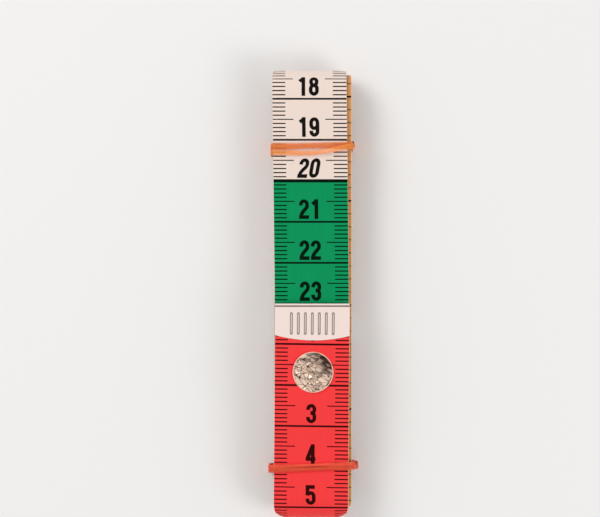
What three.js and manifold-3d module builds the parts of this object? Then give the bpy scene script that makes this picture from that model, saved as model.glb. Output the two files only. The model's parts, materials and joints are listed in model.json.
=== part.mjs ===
// Cloth tape measure: a tailor's tape doubled near its middle and wound flat in an elongated coil. Its free
// end lies on the front, closed by a press stud on the turn beneath, and two rubber bands hold the coil.
// Millimetres, +Z up. It lies on its back on the two bands: +Z points out of the front of the coil,
// +Y runs along the coil to its upper fold, and the origin is under the middle of the coil.
import * as THREE from 'three';
import { mergeVertices } from 'three/addons/utils/BufferGeometryUtils.js';
import Module from 'manifold-3d';

// Tape
const TAPE_LENGTH = 1500;
const TAPE_WIDTH = 18.2;
const TAPE_THICKNESS = 0.3;

// Winding, with an odd number of layers on its back
const BACK_LAYERS = 7;
const LAYER_GAP = 0.42;
const HAIRPIN_INSET = 2;
const FAR_TAIL = 62.2;
const FOLD_STEPS = 12;

// Sideways place of the cloth: at the free end, the lower fold and the upper fold of the outer turn,
// then on the way in to the hairpin and on the way out again
const FREE_END_SHIFT = 0.15;
const LOWER_FOLD_SHIFT = -0.3;
const UPPER_FOLD_SHIFT = -0.6;
const WAY_IN_SHIFT = 0;
const WAY_OUT_SHIFT = 0.6;

// Free end, from its root above the lower band to the ferrule
const ROOT_MARGIN = 1.2;
const RAMP_LENGTH = 15.5;
const RAMP_PIECES = 3;
const RAMP_STEPS = 4;
const PLATE_BELOW_CAP = 0.2;
const PLATE_ABOVE_CAP = 1.3;
const TIP_MARGIN = 1.4;
const TIP_AIR = 0.6;
const CREASE_GAP = 0.3;

// Ferrules, folded from sheet metal over both ends of the tape
const FERRULE_LENGTH = 9.1;
const FERRULE_BOW = 1.2;
const FERRULE_WALL = 0.25;
const FERRULE_OVERHANG = 0.1;
const FERRULE_AIR = 0.22;
const BEAD_RISE = 0.1;
const BEAD_SLOPE = 0.25;
const END_CLEARANCE = 0.1;
const TRIM_MARGIN = 1;

// Press stud
const SNAP_OFFSET = 0.3;
const SEAT = 0.05;
const HOLE_CLEARANCE = 0.2;
const CAP_DIAMETER = 10;
const CAP_RIM = 0.35;
const CAP_CROWN = 0.75;
const CAP_EDGE = 0.3;
const SHANK_DIAMETER = 2.4;
const CLINCH_LIP = 0.5;
const CLINCH_THICKNESS = 0.2;
const CLINCH_AIR = 0.35;
const CLOSED_AIR = 0.2;
const SOCKET_FLANGE = 1.1;
const SOCKET_WALL = 0.85;
const SOCKET_PLATE = 0.3;
const SOCKET_LIP = 0.2;
const MOUTH_CLEARANCE = 0.25;
const RIM_AIR = 0.1;
const SPRING_WIRE = 0.4;
const SPRING_HOLD = 0.05;
const SPRING_PLAY = 0.04;
const SPRING_SPLIT = 40;
const GROOVE_ROOM = 0.25;
const STUD_DIAMETER = 8;
const STUD_FLANGE = 0.3;
const STUD_WALL = 0.3;
const HEAD_DIAMETER = 3.6;
const HEAD_OVERHANG = 0.45;
const HEAD_CONE = 0.3;
const HEAD_BAND = 0.04;
const HEAD_ROUND = 0.15;
const POST_FLANGE_DIAMETER = 7;
const POST_FLANGE = 0.3;
const POST_AIR = 0.4;
const POST_REACH = 0.6;

// Rubber bands, each wound twice round the coil
const BAND_THICKNESS = 0.7;
const BAND_CLEARANCE = 0.25;
const BAND_CORNER_AIR = 0.1;
const BAND_BEVEL = 0.15;
const STRAND_GAP = 0.45;
const CROSSING_HALF = 3;
const CROSSING_RAMP = 2.5;
const UPPER_BAND_PLACE = 13.8;
const UPPER_STRAND = 1.4;
const UPPER_CROSSING = 3.5;
const LOWER_BAND_PLACE = 6.9;
const LOWER_STRAND = 1;
const LOWER_CROSSING = -1;

const ROUND_SIDES = 32;
const WIRE_SIDES = 8;
const WIRE_STEPS = 24;

const wasm = await Module();
wasm.setup();

const PAINT = {
  cloth: new THREE.MeshStandardMaterial({ color: 0xece2d8, roughness: 0.6, metalness: 0 }),
  freeEnd: new THREE.MeshStandardMaterial({ color: 0xe8474b, roughness: 0.6, metalness: 0 }),
  ferrule: new THREE.MeshStandardMaterial({ color: 0xf4e8e2, roughness: 0.35, metalness: 0.2 }),
  silver: new THREE.MeshStandardMaterial({ color: 0xc8c2b8, roughness: 0.25, metalness: 1 }),
  rubber: new THREE.MeshStandardMaterial({ color: 0xd98a44, roughness: 0.5, metalness: 0 }),
};

// Layers of the coil from the outside in, as heights of the cloth's middle surface. The far end's ferrule
// lies on the second layer of the back, and the stud's post under the second layer of the front
const pitch = TAPE_THICKNESS + LAYER_GAP;
const postPitch = TAPE_THICKNESS + SEAT + POST_FLANGE + POST_AIR;
const ferrulePitch = TAPE_THICKNESS + SEAT + FERRULE_WALL + BEAD_RISE + FERRULE_AIR;
const back = [BAND_THICKNESS + BAND_CLEARANCE + TAPE_THICKNESS / 2];
for (let layer = 1; layer < BACK_LAYERS; layer += 1) {
  back[layer] = back[layer - 1] + (layer <= 2 ? ferrulePitch : pitch);
}
const front = [];
front[BACK_LAYERS] = back[BACK_LAYERS - 1] + pitch;
for (let layer = BACK_LAYERS - 1; layer >= 0; layer -= 1) {
  front[layer] = front[layer + 1] + (layer === 1 ? postPitch : pitch);
}
const frontFace = front[1] + TAPE_THICKNESS / 2;

// Folds in their order along the cloth. It winds in over every second layer to the innermost one, turns
// back in a hairpin and winds out over the layers left between, its printed face inwards from there on
const lowFold = (from, to) => ({ end: -1, from, to, radius: Math.abs(from - to) / 2, inset: 0 });
const highFold = (from, to) => ({ ...lowFold(from, to), end: 1 });
const hairpin = { ...lowFold(front[BACK_LAYERS], front[BACK_LAYERS - 1]), inset: HAIRPIN_INSET };
const folds = [lowFold(front[0], back[0])];
for (let layer = 0; layer < BACK_LAYERS; layer += 2) {
  folds.push(highFold(back[layer], front[layer + 1]));
  folds.push(layer + 2 < BACK_LAYERS ? lowFold(front[layer + 1], back[layer + 2]) : hairpin);
}
for (let layer = BACK_LAYERS - 2; layer > 0; layer -= 2) {
  folds.push(highFold(front[layer + 1], back[layer]));
  if (layer > 1) {
    folds.push(lowFold(back[layer], front[layer - 1]));
  }
}

// Press stud heights above the face of the turn that carries the stud. The spring rests on the lip of
// the socket's mouth, level with the stud's neck, and the head widens above it
const flangeTop = SEAT + STUD_FLANGE;
const socketRim = flangeTop + RIM_AIR;
const grooveFloor = socketRim + SOCKET_LIP;
const springHeight = grooveFloor + SPRING_PLAY + SPRING_WIRE / 2;
const headWidest = springHeight + HEAD_CONE;
const studTop = headWidest + HEAD_BAND + HEAD_ROUND;
const plateUnderside = studTop + CLOSED_AIR + CLINCH_THICKNESS + SEAT;
const clothUnderside = plateUnderside + SOCKET_PLATE + SEAT;
const plateHeight = frontFace + clothUnderside + TAPE_THICKNESS / 2;
const tipEndHeight = frontFace + TIP_AIR + FERRULE_WALL + SEAT + TAPE_THICKNESS / 2;

// Lengths along the free end, and the run between the folds that uses up the whole tape
const lowerBandWidth = 2 * LOWER_STRAND + STRAND_GAP;
const rootFromFold = LOWER_BAND_PLACE + lowerBandWidth / 2 + ROOT_MARGIN;
const plateLength = CAP_DIAMETER + PLATE_BELOW_CAP + PLATE_ABOVE_CAP;
const tipLength = FERRULE_LENGTH + TIP_MARGIN;
const tipDroop = Math.asin((plateHeight - tipEndHeight) / tipLength);

function rampHeight(share) {
  const eased = share * share * (3 - 2 * share);
  return THREE.MathUtils.lerp(front[0], plateHeight, eased);
}

function rampArcLength(samples) {
  let length = 0;
  for (let i = 0; i < samples; i += 1) {
    const rise = rampHeight((i + 1) / samples) - rampHeight(i / samples);
    length += Math.hypot(RAMP_LENGTH / samples, rise);
  }
  return length;
}

const rampLength = rampArcLength(RAMP_PIECES * RAMP_STEPS);
const plateFrom = tipLength + plateLength;
const rootFrom = plateFrom + rampLength;
const freeLength = rootFrom + rootFromFold;
const foldLength = folds.reduce((sum, fold) => sum + Math.PI * fold.radius, 0);
const runsLength = TAPE_LENGTH - freeLength - foldLength - FAR_TAIL + 2 * HAIRPIN_INSET;
const runLength = runsLength / (folds.length - 1);
let woundLength = freeLength;
for (const fold of folds) {
  fold.starts = woundLength - fold.inset;
  fold.ends = fold.starts + Math.PI * fold.radius;
  woundLength = fold.ends - fold.inset + runLength;
}

// Places along the coil
const lowerReach = folds[0].radius + TAPE_THICKNESS / 2;
const upperReach = folds[1].radius + TAPE_THICKNESS / 2;
const lowerFold = -(runLength + upperReach - lowerReach) / 2;
const upperFold = lowerFold + runLength;
const lowerBandY = lowerFold + LOWER_BAND_PLACE;
const upperBandY = upperFold - UPPER_BAND_PLACE;
const farEndY = upperFold - FAR_TAIL;
const rootY = lowerFold + rootFromFold;
const plateY = rootY + RAMP_LENGTH;
const snapY = plateY + PLATE_BELOW_CAP + CAP_DIAMETER / 2;
const tipY = plateY + plateLength;

// Sideways place of the cloth at a distance along it from the free end
const turning = folds.indexOf(hairpin);
const shiftKnots = [
  [0, FREE_END_SHIFT],
  [freeLength, LOWER_FOLD_SHIFT],
  [folds[1].ends, UPPER_FOLD_SHIFT],
  [folds[2].starts, WAY_IN_SHIFT],
  [folds[turning - 1].ends, WAY_IN_SHIFT],
  [folds[turning + 1].starts, WAY_OUT_SHIFT],
  [TAPE_LENGTH, WAY_OUT_SHIFT],
];

function sideways(along) {
  const next = Math.max(1, shiftKnots.findIndex(([place]) => place >= along));
  const [from, shiftFrom] = shiftKnots[next - 1];
  const [to, shiftTo] = shiftKnots[next];
  return THREE.MathUtils.mapLinear(along, from, to, shiftFrom, shiftTo);
}

const coilHalfWidth = TAPE_WIDTH / 2 + Math.max(...shiftKnots.map(([, shift]) => Math.abs(shift)));

// A closed body from rings of corners: ring to ring all round, with flat ends or joined into a loop
function ringBody(rings, looped) {
  const sides = rings[0].length;
  const positions = rings.flat().flatMap((corner) => corner.toArray());
  const faces = [];
  const spans = looped ? rings.length : rings.length - 1;
  for (let i = 0; i < spans; i += 1) {
    const here = i * sides;
    const there = ((i + 1) % rings.length) * sides;
    for (let k = 0; k < sides; k += 1) {
      const next = (k + 1) % sides;
      faces.push(here + k, here + next, there + next);
      faces.push(here + k, there + next, there + k);
    }
  }
  if (!looped) {
    const last = (rings.length - 1) * sides;
    for (let k = 1; k < sides - 1; k += 1) {
      faces.push(0, k + 1, k);
      faces.push(last, last + k, last + k + 1);
    }
  }
  const geometry = new THREE.BufferGeometry();
  geometry.setAttribute('position', new THREE.Float32BufferAttribute(positions, 3));
  geometry.setIndex(faces);
  return geometry;
}

// The cloth's section at one place: its four corners, the printed face on the side of the normal
function clothRing({ x, y, z, normalY, normalZ }) {
  const half = TAPE_THICKNESS / 2;
  const corner = (side, face) =>
    new THREE.Vector3(x + side * TAPE_WIDTH / 2, y + face * half * normalY, z + face * half * normalZ);
  return [corner(-1, 1), corner(1, 1), corner(1, -1), corner(-1, -1)];
}

// The wound cloth from the root of the free end to its far end, as places with the printed face's normal
function windingPath() {
  const path = [];
  const add = (along, y, z, normalY, normalZ) => {
    path.push({ along, x: sideways(along), y, z, normalY, normalZ });
  };
  add(rootFrom + CREASE_GAP / 2, rootY - CREASE_GAP / 2, front[0], 0, 1);
  let facing = 1;
  for (const fold of folds) {
    const centreY = fold.end < 0 ? lowerFold + fold.inset : upperFold;
    facing = fold === hairpin ? -1 : facing;
    for (let step = 0; step <= FOLD_STEPS; step += 1) {
      const share = step / FOLD_STEPS;
      const out = fold.end * Math.sin(Math.PI * share);
      const up = Math.sign(fold.from - fold.to) * Math.cos(Math.PI * share);
      const along = THREE.MathUtils.lerp(fold.starts, fold.ends, share);
      const middle = (fold.from + fold.to) / 2;
      add(along, centreY + fold.radius * out, middle + fold.radius * up, facing * out, facing * up);
    }
  }
  const endInside = FERRULE_WALL + END_CLEARANCE;
  add(TAPE_LENGTH - endInside, farEndY + endInside, back[1], 0, 1);
  return path;
}

// Least gap of the winding to itself, between points on both faces that lie further apart along the cloth
function leastWindingGap(path) {
  const spacing = runLength / (2 * FOLD_STEPS);
  const apart = 4 * TAPE_THICKNESS;
  const points = [];
  for (let i = 0; i + 1 < path.length; i += 1) {
    const [from, to] = [path[i], path[i + 1]];
    const steps = Math.max(1, Math.round((to.along - from.along) / spacing));
    for (let step = 0; step < steps; step += 1) {
      const share = step / steps;
      for (const face of [-TAPE_THICKNESS / 2, TAPE_THICKNESS / 2]) {
        const y = THREE.MathUtils.lerp(from.y + face * from.normalY, to.y + face * to.normalY, share);
        const z = THREE.MathUtils.lerp(from.z + face * from.normalZ, to.z + face * to.normalZ, share);
        points.push({ y, z, along: THREE.MathUtils.lerp(from.along, to.along, share) });
      }
    }
  }
  let least = Infinity;
  for (const [i, one] of points.entries()) {
    for (const other of points.slice(i + 1)) {
      if (Math.abs(other.along - one.along) > apart) {
        least = Math.min(least, Math.hypot(other.y - one.y, other.z - one.z));
      }
    }
  }
  return least;
}

// Solids for cutting: shared corners only, and no faces without area
function toSolid(geometry) {
  const bare = geometry.clone();
  bare.deleteAttribute('normal');
  bare.deleteAttribute('uv');
  const merged = mergeVertices(bare);
  const vertProperties = Float32Array.from(merged.getAttribute('position').array);
  const triVerts = Uint32Array.from(merged.getIndex().array);
  return new wasm.Manifold(new wasm.Mesh({ numProp: 3, vertProperties, triVerts }));
}

function fromSolid(solid) {
  const { vertProperties, triVerts } = solid.getMesh();
  const geometry = new THREE.BufferGeometry();
  geometry.setAttribute('position', new THREE.Float32BufferAttribute(Array.from(vertProperties), 3));
  geometry.setIndex(Array.from(triVerts));
  return geometry;
}

// A round hole down through cloth whose middle surface lies at the given height
function pierced(geometry, radius, x, y, height) {
  const drill = new THREE.CylinderGeometry(radius, radius, 2 * TAPE_THICKNESS, ROUND_SIDES);
  drill.rotateX(Math.PI / 2);
  drill.translate(x, y, height);
  return fromSolid(toSolid(geometry).subtract(toSolid(drill)));
}

// A turned piece: pairs of radius and height, revolved round the Z axis
function turned(profile) {
  const outline = profile.map(([radius, height]) => new THREE.Vector2(radius, height));
  const geometry = new THREE.LatheGeometry(outline, ROUND_SIDES);
  geometry.rotateX(Math.PI / 2);
  return geometry;
}

function piece(name, geometry, material) {
  const mesh = new THREE.Mesh(geometry, material);
  mesh.name = name;
  return mesh;
}

// The press stud's places
const snapFrom = tipLength + PLATE_ABOVE_CAP + CAP_DIAMETER / 2;
const snapX = sideways(snapFrom) + SNAP_OFFSET;
const headRadius = HEAD_DIAMETER / 2;
const neckRadius = headRadius - HEAD_OVERHANG;
const boreRadius = neckRadius - STUD_WALL;
const boreTop = flangeTop + POST_REACH;
const postRadius = boreRadius - SEAT;
const mouthRadius = headRadius + MOUTH_CLEARANCE;
const shankRadius = SHANK_DIAMETER / 2;
const clinchRadius = shankRadius + CLINCH_LIP;

function tapeCoil() {
  const path = windingPath();
  console.log(`winding: least gap to itself ${leastWindingGap(path).toFixed(3)} mm`);
  const strip = ringBody(path.map(clothRing).reverse(), false);
  return pierced(strip, postRadius + HOLE_CLEARANCE, snapX, snapY, front[1]);
}

// One piece of the rising part of the free end, between two creases
function rampPiece(index) {
  const trim = CREASE_GAP / 2 / RAMP_LENGTH;
  const from = index / RAMP_PIECES + trim;
  const to = (index + 1) / RAMP_PIECES - trim;
  const rings = [];
  for (let step = 0; step <= RAMP_STEPS; step += 1) {
    const share = THREE.MathUtils.lerp(from, to, step / RAMP_STEPS);
    const slope = ((plateHeight - front[0]) * 6 * share * (1 - share)) / RAMP_LENGTH;
    const steep = Math.hypot(1, slope);
    rings.push(clothRing({
      x: sideways(rootFrom - share * rampLength),
      y: rootY + share * RAMP_LENGTH,
      z: rampHeight(share),
      normalY: -slope / steep,
      normalZ: 1 / steep,
    }));
  }
  return ringBody(rings, false);
}

// The flat stretch of the free end that carries the press stud's cap and socket
function snapPlate() {
  const flat = { normalY: 0, normalZ: 1, z: plateHeight };
  const strip = ringBody([
    clothRing({ ...flat, x: sideways(plateFrom), y: plateY + CREASE_GAP / 2 }),
    clothRing({ ...flat, x: sideways(tipLength), y: tipY - CREASE_GAP / 2 }),
  ], false);
  return pierced(strip, shankRadius + HOLE_CLEARANCE, snapX, snapY, plateHeight);
}

// The last stretch of cloth, in its own frame: along +Y from the crease to the ferrule's fold
function tipCloth() {
  const flat = { normalY: 0, normalZ: 1, z: 0 };
  const endInside = FERRULE_WALL + END_CLEARANCE;
  return ringBody([
    clothRing({ ...flat, x: sideways(tipLength), y: CREASE_GAP / 2 }),
    clothRing({ ...flat, x: sideways(0), y: tipLength - endInside }),
  ], false);
}

// A ferrule with its fold at y = 0 and its leaves towards -Y. The fold stands proud as a bead,
// and both leaves end in a bowed edge that reaches furthest in the middle
function ferrule() {
  const slot = TAPE_THICKNESS / 2 + SEAT;
  const leaf = slot + FERRULE_WALL;
  const bead = leaf + BEAD_RISE;
  const end = -2 * FERRULE_LENGTH;
  const section = new THREE.Shape();
  section.moveTo(end, leaf);
  section.lineTo(end, slot);
  section.lineTo(-FERRULE_WALL, slot);
  section.lineTo(-FERRULE_WALL, -slot);
  section.lineTo(end, -slot);
  section.lineTo(end, -leaf);
  section.lineTo(-bead - BEAD_SLOPE, -leaf);
  section.absarc(-bead, 0, bead, -Math.PI / 2, Math.PI / 2, false);
  section.lineTo(-bead - BEAD_SLOPE, leaf);
  section.closePath();
  const half = TAPE_WIDTH / 2 + FERRULE_OVERHANG;
  const folded = new THREE.ExtrudeGeometry(section, { depth: 2 * half, bevelEnabled: false, curveSegments: 8 });
  folded.applyMatrix4(new THREE.Matrix4().makeBasis(
    new THREE.Vector3(0, 1, 0), new THREE.Vector3(0, 0, 1), new THREE.Vector3(1, 0, 0)));
  folded.translate(-half, 0, 0);

  const sideLength = FERRULE_LENGTH - FERRULE_BOW;
  const radius = (half * half + FERRULE_BOW * FERRULE_BOW) / (2 * FERRULE_BOW);
  const spread = Math.asin(half / radius);
  const outline = new THREE.Shape();
  outline.moveTo(half + TRIM_MARGIN, bead);
  outline.lineTo(-half - TRIM_MARGIN, bead);
  outline.lineTo(-half - TRIM_MARGIN, -sideLength);
  outline.absarc(0, radius - FERRULE_LENGTH, radius, -Math.PI / 2 - spread, -Math.PI / 2 + spread, false);
  outline.lineTo(half + TRIM_MARGIN, -sideLength);
  outline.closePath();
  const block = new THREE.ExtrudeGeometry(outline, { depth: 4 * bead, bevelEnabled: false, curveSegments: 14 });
  block.translate(0, 0, -2 * bead);
  return fromSolid(toSolid(folded).intersect(toSolid(block)));
}

// Press stud, with heights counted from the face of the turn that carries the stud
function snapCap() {
  const under = clothUnderside + TAPE_THICKNESS + SEAT;
  const clinchTop = plateUnderside - SEAT;
  const rim = CAP_DIAMETER / 2;
  const crown = [0.75, 0.5, 0.25].map((share) => {
    const radius = (rim - CAP_EDGE) * share;
    return [radius, under + CAP_CROWN - (CAP_CROWN - CAP_RIM - CAP_EDGE / 2) * share * share];
  });
  return turned([
    [0, clinchTop - CLINCH_THICKNESS],
    [clinchRadius, clinchTop - CLINCH_THICKNESS],
    [clinchRadius, clinchTop],
    [shankRadius, clinchTop],
    [shankRadius, under],
    [rim, under],
    [rim, under + CAP_RIM],
    [rim - CAP_EDGE, under + CAP_RIM + CAP_EDGE / 2],
    ...crown,
    [0, under + CAP_CROWN],
  ]);
}

function snapSocket() {
  const groove = mouthRadius + SPRING_HOLD + GROOVE_ROOM;
  const grooveTop = grooveFloor + SPRING_WIRE + 2 * SPRING_PLAY;
  const chamber = Math.max(mouthRadius, clinchRadius + CLINCH_AIR);
  const hole = shankRadius + SEAT;
  const barrel = Math.max(groove, chamber) + SOCKET_WALL;
  const flange = barrel + SOCKET_FLANGE;
  return turned([
    [mouthRadius, socketRim],
    [barrel, socketRim],
    [barrel, plateUnderside],
    [flange, plateUnderside],
    [flange, plateUnderside + SOCKET_PLATE],
    [hole, plateUnderside + SOCKET_PLATE],
    [hole, plateUnderside],
    [chamber, plateUnderside],
    [chamber, grooveTop],
    [groove, grooveTop],
    [groove, grooveFloor],
    [mouthRadius, grooveFloor],
    [mouthRadius, socketRim],
  ]);
}

// A split wire ring in the socket's groove, which opens as the stud's head passes
function snapSpring() {
  const radius = mouthRadius + SPRING_HOLD - SPRING_WIRE / 2;
  const split = THREE.MathUtils.degToRad(SPRING_SPLIT);
  const rings = [];
  for (let step = 0; step <= WIRE_STEPS; step += 1) {
    const turn = split / 2 + ((2 * Math.PI - split) * step) / WIRE_STEPS;
    const ring = [];
    for (let side = 0; side < WIRE_SIDES; side += 1) {
      const angle = (-2 * Math.PI * side) / WIRE_SIDES;
      const reach = radius + (SPRING_WIRE / 2) * Math.cos(angle);
      const height = springHeight + (SPRING_WIRE / 2) * Math.sin(angle);
      ring.push(new THREE.Vector3(reach * Math.cos(turn), reach * Math.sin(turn), height));
    }
    rings.push(ring);
  }
  return ringBody(rings, false);
}

function snapStud() {
  return turned([
    [0, boreTop],
    [boreRadius, boreTop],
    [boreRadius, SEAT],
    [STUD_DIAMETER / 2, SEAT],
    [STUD_DIAMETER / 2, flangeTop],
    [neckRadius, flangeTop],
    [neckRadius, springHeight],
    [headRadius, headWidest],
    [headRadius, headWidest + HEAD_BAND],
    [headRadius - 2 * HEAD_ROUND, studTop],
    [0, studTop],
  ]);
}

function snapPost() {
  const flange = -TAPE_THICKNESS - SEAT;
  return turned([
    [0, flange - POST_FLANGE],
    [POST_FLANGE_DIAMETER / 2, flange - POST_FLANGE],
    [POST_FLANGE_DIAMETER / 2, flange],
    [postRadius, flange],
    [postRadius, boreTop - SEAT],
    [0, boreTop - SEAT],
  ]);
}

// Inner radius of a band's corners, as round as the coil's square corners leave room for
const bandCorner = (Math.SQRT2 * BAND_CLEARANCE - BAND_CORNER_AIR) / (Math.SQRT2 - 1);

// Places round the coil for a band, on a rectangle with rounded corners, from the middle of the underside
function bandRoute(top) {
  const halfWidth = coilHalfWidth + BAND_CLEARANCE;
  const low = BAND_THICKNESS;
  const flat = halfWidth - bandCorner;
  const places = [];
  let along = 0;
  const line = (x0, z0, x1, z1, normalX, normalZ, steps) => {
    const length = Math.hypot(x1 - x0, z1 - z0);
    for (let step = 0; step < steps; step += 1) {
      const share = step / steps;
      const x = THREE.MathUtils.lerp(x0, x1, share);
      const z = THREE.MathUtils.lerp(z0, z1, share);
      places.push({ x, z, normalX, normalZ, along: along + share * length });
    }
    along += length;
  };
  const corner = (x, z, startAngle, steps) => {
    for (let step = 0; step < steps; step += 1) {
      const angle = startAngle + ((Math.PI / 2) * step) / steps;
      const [normalX, normalZ] = [Math.cos(angle), Math.sin(angle)];
      const turned = (bandCorner * Math.PI * step) / (2 * steps);
      places.push({
        x: x + bandCorner * normalX,
        z: z + bandCorner * normalZ,
        normalX,
        normalZ,
        along: along + turned,
      });
    }
    along += (bandCorner * Math.PI) / 2;
  };
  line(0, low, flat, low, 0, -1, 2);
  corner(flat, low + bandCorner, -Math.PI / 2, 3);
  line(halfWidth, low + bandCorner, halfWidth, top - bandCorner, 1, 0, 6);
  corner(flat, top - bandCorner, 0, 3);
  const frontMiddle = along + flat;
  line(flat, top, -flat, top, 0, 1, 18);
  corner(-flat, top - bandCorner, Math.PI / 2, 3);
  line(-halfWidth, top - bandCorner, -halfWidth, low + bandCorner, -1, 0, 6);
  corner(-flat, low + bandCorner, Math.PI, 3);
  line(-flat, low, 0, low, 0, -1, 2);
  return { places, frontMiddle };
}

// A rubber band wound twice: two strands side by side that cross once on the front, one hopping over
function rubberBand(label, y, top, strand, crossing) {
  const { places, frontMiddle } = bandRoute(top);
  const crossingAt = frontMiddle - crossing;
  const spread = (strand + STRAND_GAP) / 2;
  const hop = BAND_THICKNESS + STRAND_GAP;
  const [halfWide, halfThick] = [strand / 2, BAND_THICKNESS / 2];
  const section = [
    [-halfWide, halfThick - BAND_BEVEL],
    [-halfWide + BAND_BEVEL, halfThick],
    [halfWide - BAND_BEVEL, halfThick],
    [halfWide, halfThick - BAND_BEVEL],
    [halfWide, -halfThick + BAND_BEVEL],
    [halfWide - BAND_BEVEL, -halfThick],
    [-halfWide + BAND_BEVEL, -halfThick],
    [-halfWide, -halfThick + BAND_BEVEL],
  ];
  const round = [1, -1].map((side) => places.map((place) => {
    const past = place.along - crossingAt;
    const swap = THREE.MathUtils.clamp(past / CROSSING_HALF, -1, 1);
    const sidestep = -side * spread * Math.sin((Math.PI / 2) * swap);
    const rise = 1 - THREE.MathUtils.smoothstep(Math.abs(past), CROSSING_HALF, CROSSING_HALF + CROSSING_RAMP);
    const lift = halfThick + (side > 0 ? hop * rise : 0);
    return section.map(([across, out]) => new THREE.Vector3(
      place.x + (lift + out) * place.normalX,
      y + sidestep + across,
      place.z + (lift + out) * place.normalZ,
    ));
  }));
  let least = Infinity;
  for (const one of round[0].flat()) {
    for (const other of round[1].slice(1, -1).flat()) {
      least = Math.min(least, one.distanceTo(other));
    }
  }
  console.log(`${label}: least gap to itself ${least.toFixed(3)} mm`);
  return ringBody(round.flat(), true);
}

// Assembly
const tapeMeasure = new THREE.Group();
tapeMeasure.add(piece('tape_coil', tapeCoil(), PAINT.cloth));
for (let index = 0; index < RAMP_PIECES; index += 1) {
  const letter = String.fromCharCode('a'.charCodeAt(0) + index);
  tapeMeasure.add(piece(`tape_flap_${letter}`, rampPiece(index), PAINT.freeEnd));
}
tapeMeasure.add(piece('tape_flap_snap', snapPlate(), PAINT.freeEnd));

const tip = new THREE.Group();
tip.position.set(0, tipY, plateHeight);
tip.rotation.x = -tipDroop;
tip.add(piece('tape_flap_tip', tipCloth(), PAINT.freeEnd));
const startFerrule = piece('start_ferrule', ferrule(), PAINT.ferrule);
startFerrule.position.set(sideways(FERRULE_LENGTH / 2), tipLength, 0);
tip.add(startFerrule);
tapeMeasure.add(tip);

const farFerrule = piece('far_ferrule', ferrule(), PAINT.ferrule);
farFerrule.position.set(WAY_OUT_SHIFT, farEndY, back[1]);
farFerrule.rotation.z = Math.PI;
tapeMeasure.add(farFerrule);

const snap = new THREE.Group();
snap.position.set(snapX, snapY, frontFace);
snap.add(piece('snap_cap', snapCap(), PAINT.silver));
snap.add(piece('snap_socket', snapSocket(), PAINT.silver));
snap.add(piece('snap_spring', snapSpring(), PAINT.silver));
snap.add(piece('snap_stud', snapStud(), PAINT.silver));
snap.add(piece('snap_post', snapPost(), PAINT.silver));
tapeMeasure.add(snap);

const upperBandTop = frontFace + BAND_CLEARANCE;
const lowerBandTop = front[0] + TAPE_THICKNESS / 2 + BAND_CLEARANCE;
tapeMeasure.add(piece('rubber_band_upper',
  rubberBand('upper band', upperBandY, upperBandTop, UPPER_STRAND, UPPER_CROSSING), PAINT.rubber));
tapeMeasure.add(piece('rubber_band_lower',
  rubberBand('lower band', lowerBandY, lowerBandTop, LOWER_STRAND, LOWER_CROSSING), PAINT.rubber));

export default tapeMeasure;
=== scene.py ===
"""A cloth tape measure, dressed for looks: a printed strip wound flat in a doubled coil, a free end with
a metal ferrule and a press stud, and two rubber bands. Lengths are in metres, in the packed model's frame."""
import json
import math

import bmesh
import bpy
import numpy as np
from bpy.props import FloatProperty, FloatVectorProperty, IntProperty, PointerProperty
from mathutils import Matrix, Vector


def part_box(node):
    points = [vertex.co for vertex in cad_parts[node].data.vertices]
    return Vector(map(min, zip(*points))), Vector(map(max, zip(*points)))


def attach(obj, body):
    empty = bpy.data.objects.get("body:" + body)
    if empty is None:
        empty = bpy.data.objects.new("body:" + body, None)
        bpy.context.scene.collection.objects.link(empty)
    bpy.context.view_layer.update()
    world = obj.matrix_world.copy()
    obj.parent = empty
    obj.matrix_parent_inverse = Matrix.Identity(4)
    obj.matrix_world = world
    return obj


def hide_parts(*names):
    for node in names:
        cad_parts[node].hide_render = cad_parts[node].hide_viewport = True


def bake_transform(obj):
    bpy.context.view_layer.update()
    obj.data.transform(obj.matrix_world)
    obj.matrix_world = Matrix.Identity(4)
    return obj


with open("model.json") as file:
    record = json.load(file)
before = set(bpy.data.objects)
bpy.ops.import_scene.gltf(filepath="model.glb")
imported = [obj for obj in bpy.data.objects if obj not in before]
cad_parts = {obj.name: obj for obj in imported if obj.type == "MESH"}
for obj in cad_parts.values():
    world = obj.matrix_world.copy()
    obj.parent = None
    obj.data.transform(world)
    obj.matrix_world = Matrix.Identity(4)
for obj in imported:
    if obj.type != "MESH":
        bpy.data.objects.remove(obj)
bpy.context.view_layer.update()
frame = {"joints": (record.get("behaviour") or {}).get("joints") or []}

bl_info = {
    "name": "Cloth Tape Measure",
    "version": (1, 0, 0),
    "blender": (4, 5, 0),
    "location": "3D View > Sidebar > Tape Measure",
    "description": "Builds a wound cloth tape measure with its press stud, ferrules and rubber bands",
    "category": "Object",
}

INCH = 0.0254
EIGHTH = INCH / 8
MILLIMETRE = 0.001

# Vectors that a mesh carries for its material
CLOTH_PLACE = "cloth_place"
BAND_PLACE = "band_place"
STRUCK_PLACE = "struck_place"

# Numbers of steps in the round and even shapes
FOLD_SAMPLES = 33
RAMP_SAMPLES = 41
TURNED_SIDES = 96
WIRE_SIDES = 16
CROWN_RINGS = 100
LEAF_COLUMNS = 181
LEAF_ROWS = 44
BAND_SAMPLES = 420
CORNER_SAMPLES = 13
STRAND_SIDES = 20
EASE_POINTS = 5
ARC_POINTS = 13
CURVE_POINTS = 11

# The strip: the straight shares of its free end's tip and plate, the length in which it settles after a fold,
# how its borders curl in at a fold, where a curled border is cut into faces, and the two waves of the layers
# inside, in radians per metre, with their sideways share
TIP_STRAIGHT = 0.95
PLATE_STRAIGHT = (0.05, 0.99)
SETTLING = 0.024
CURL_START = 0.4
CURL_SWEEP = 0.9
CURL_POWER = 1.6
BORDER_CUTS = (0.86, 0.36)
WAVE_TURNING = (97, 231)
SHORT_WAVE = 0.6
WAVE_FADE = 0.03
SIDEWAYS_WAVE = 2

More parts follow.
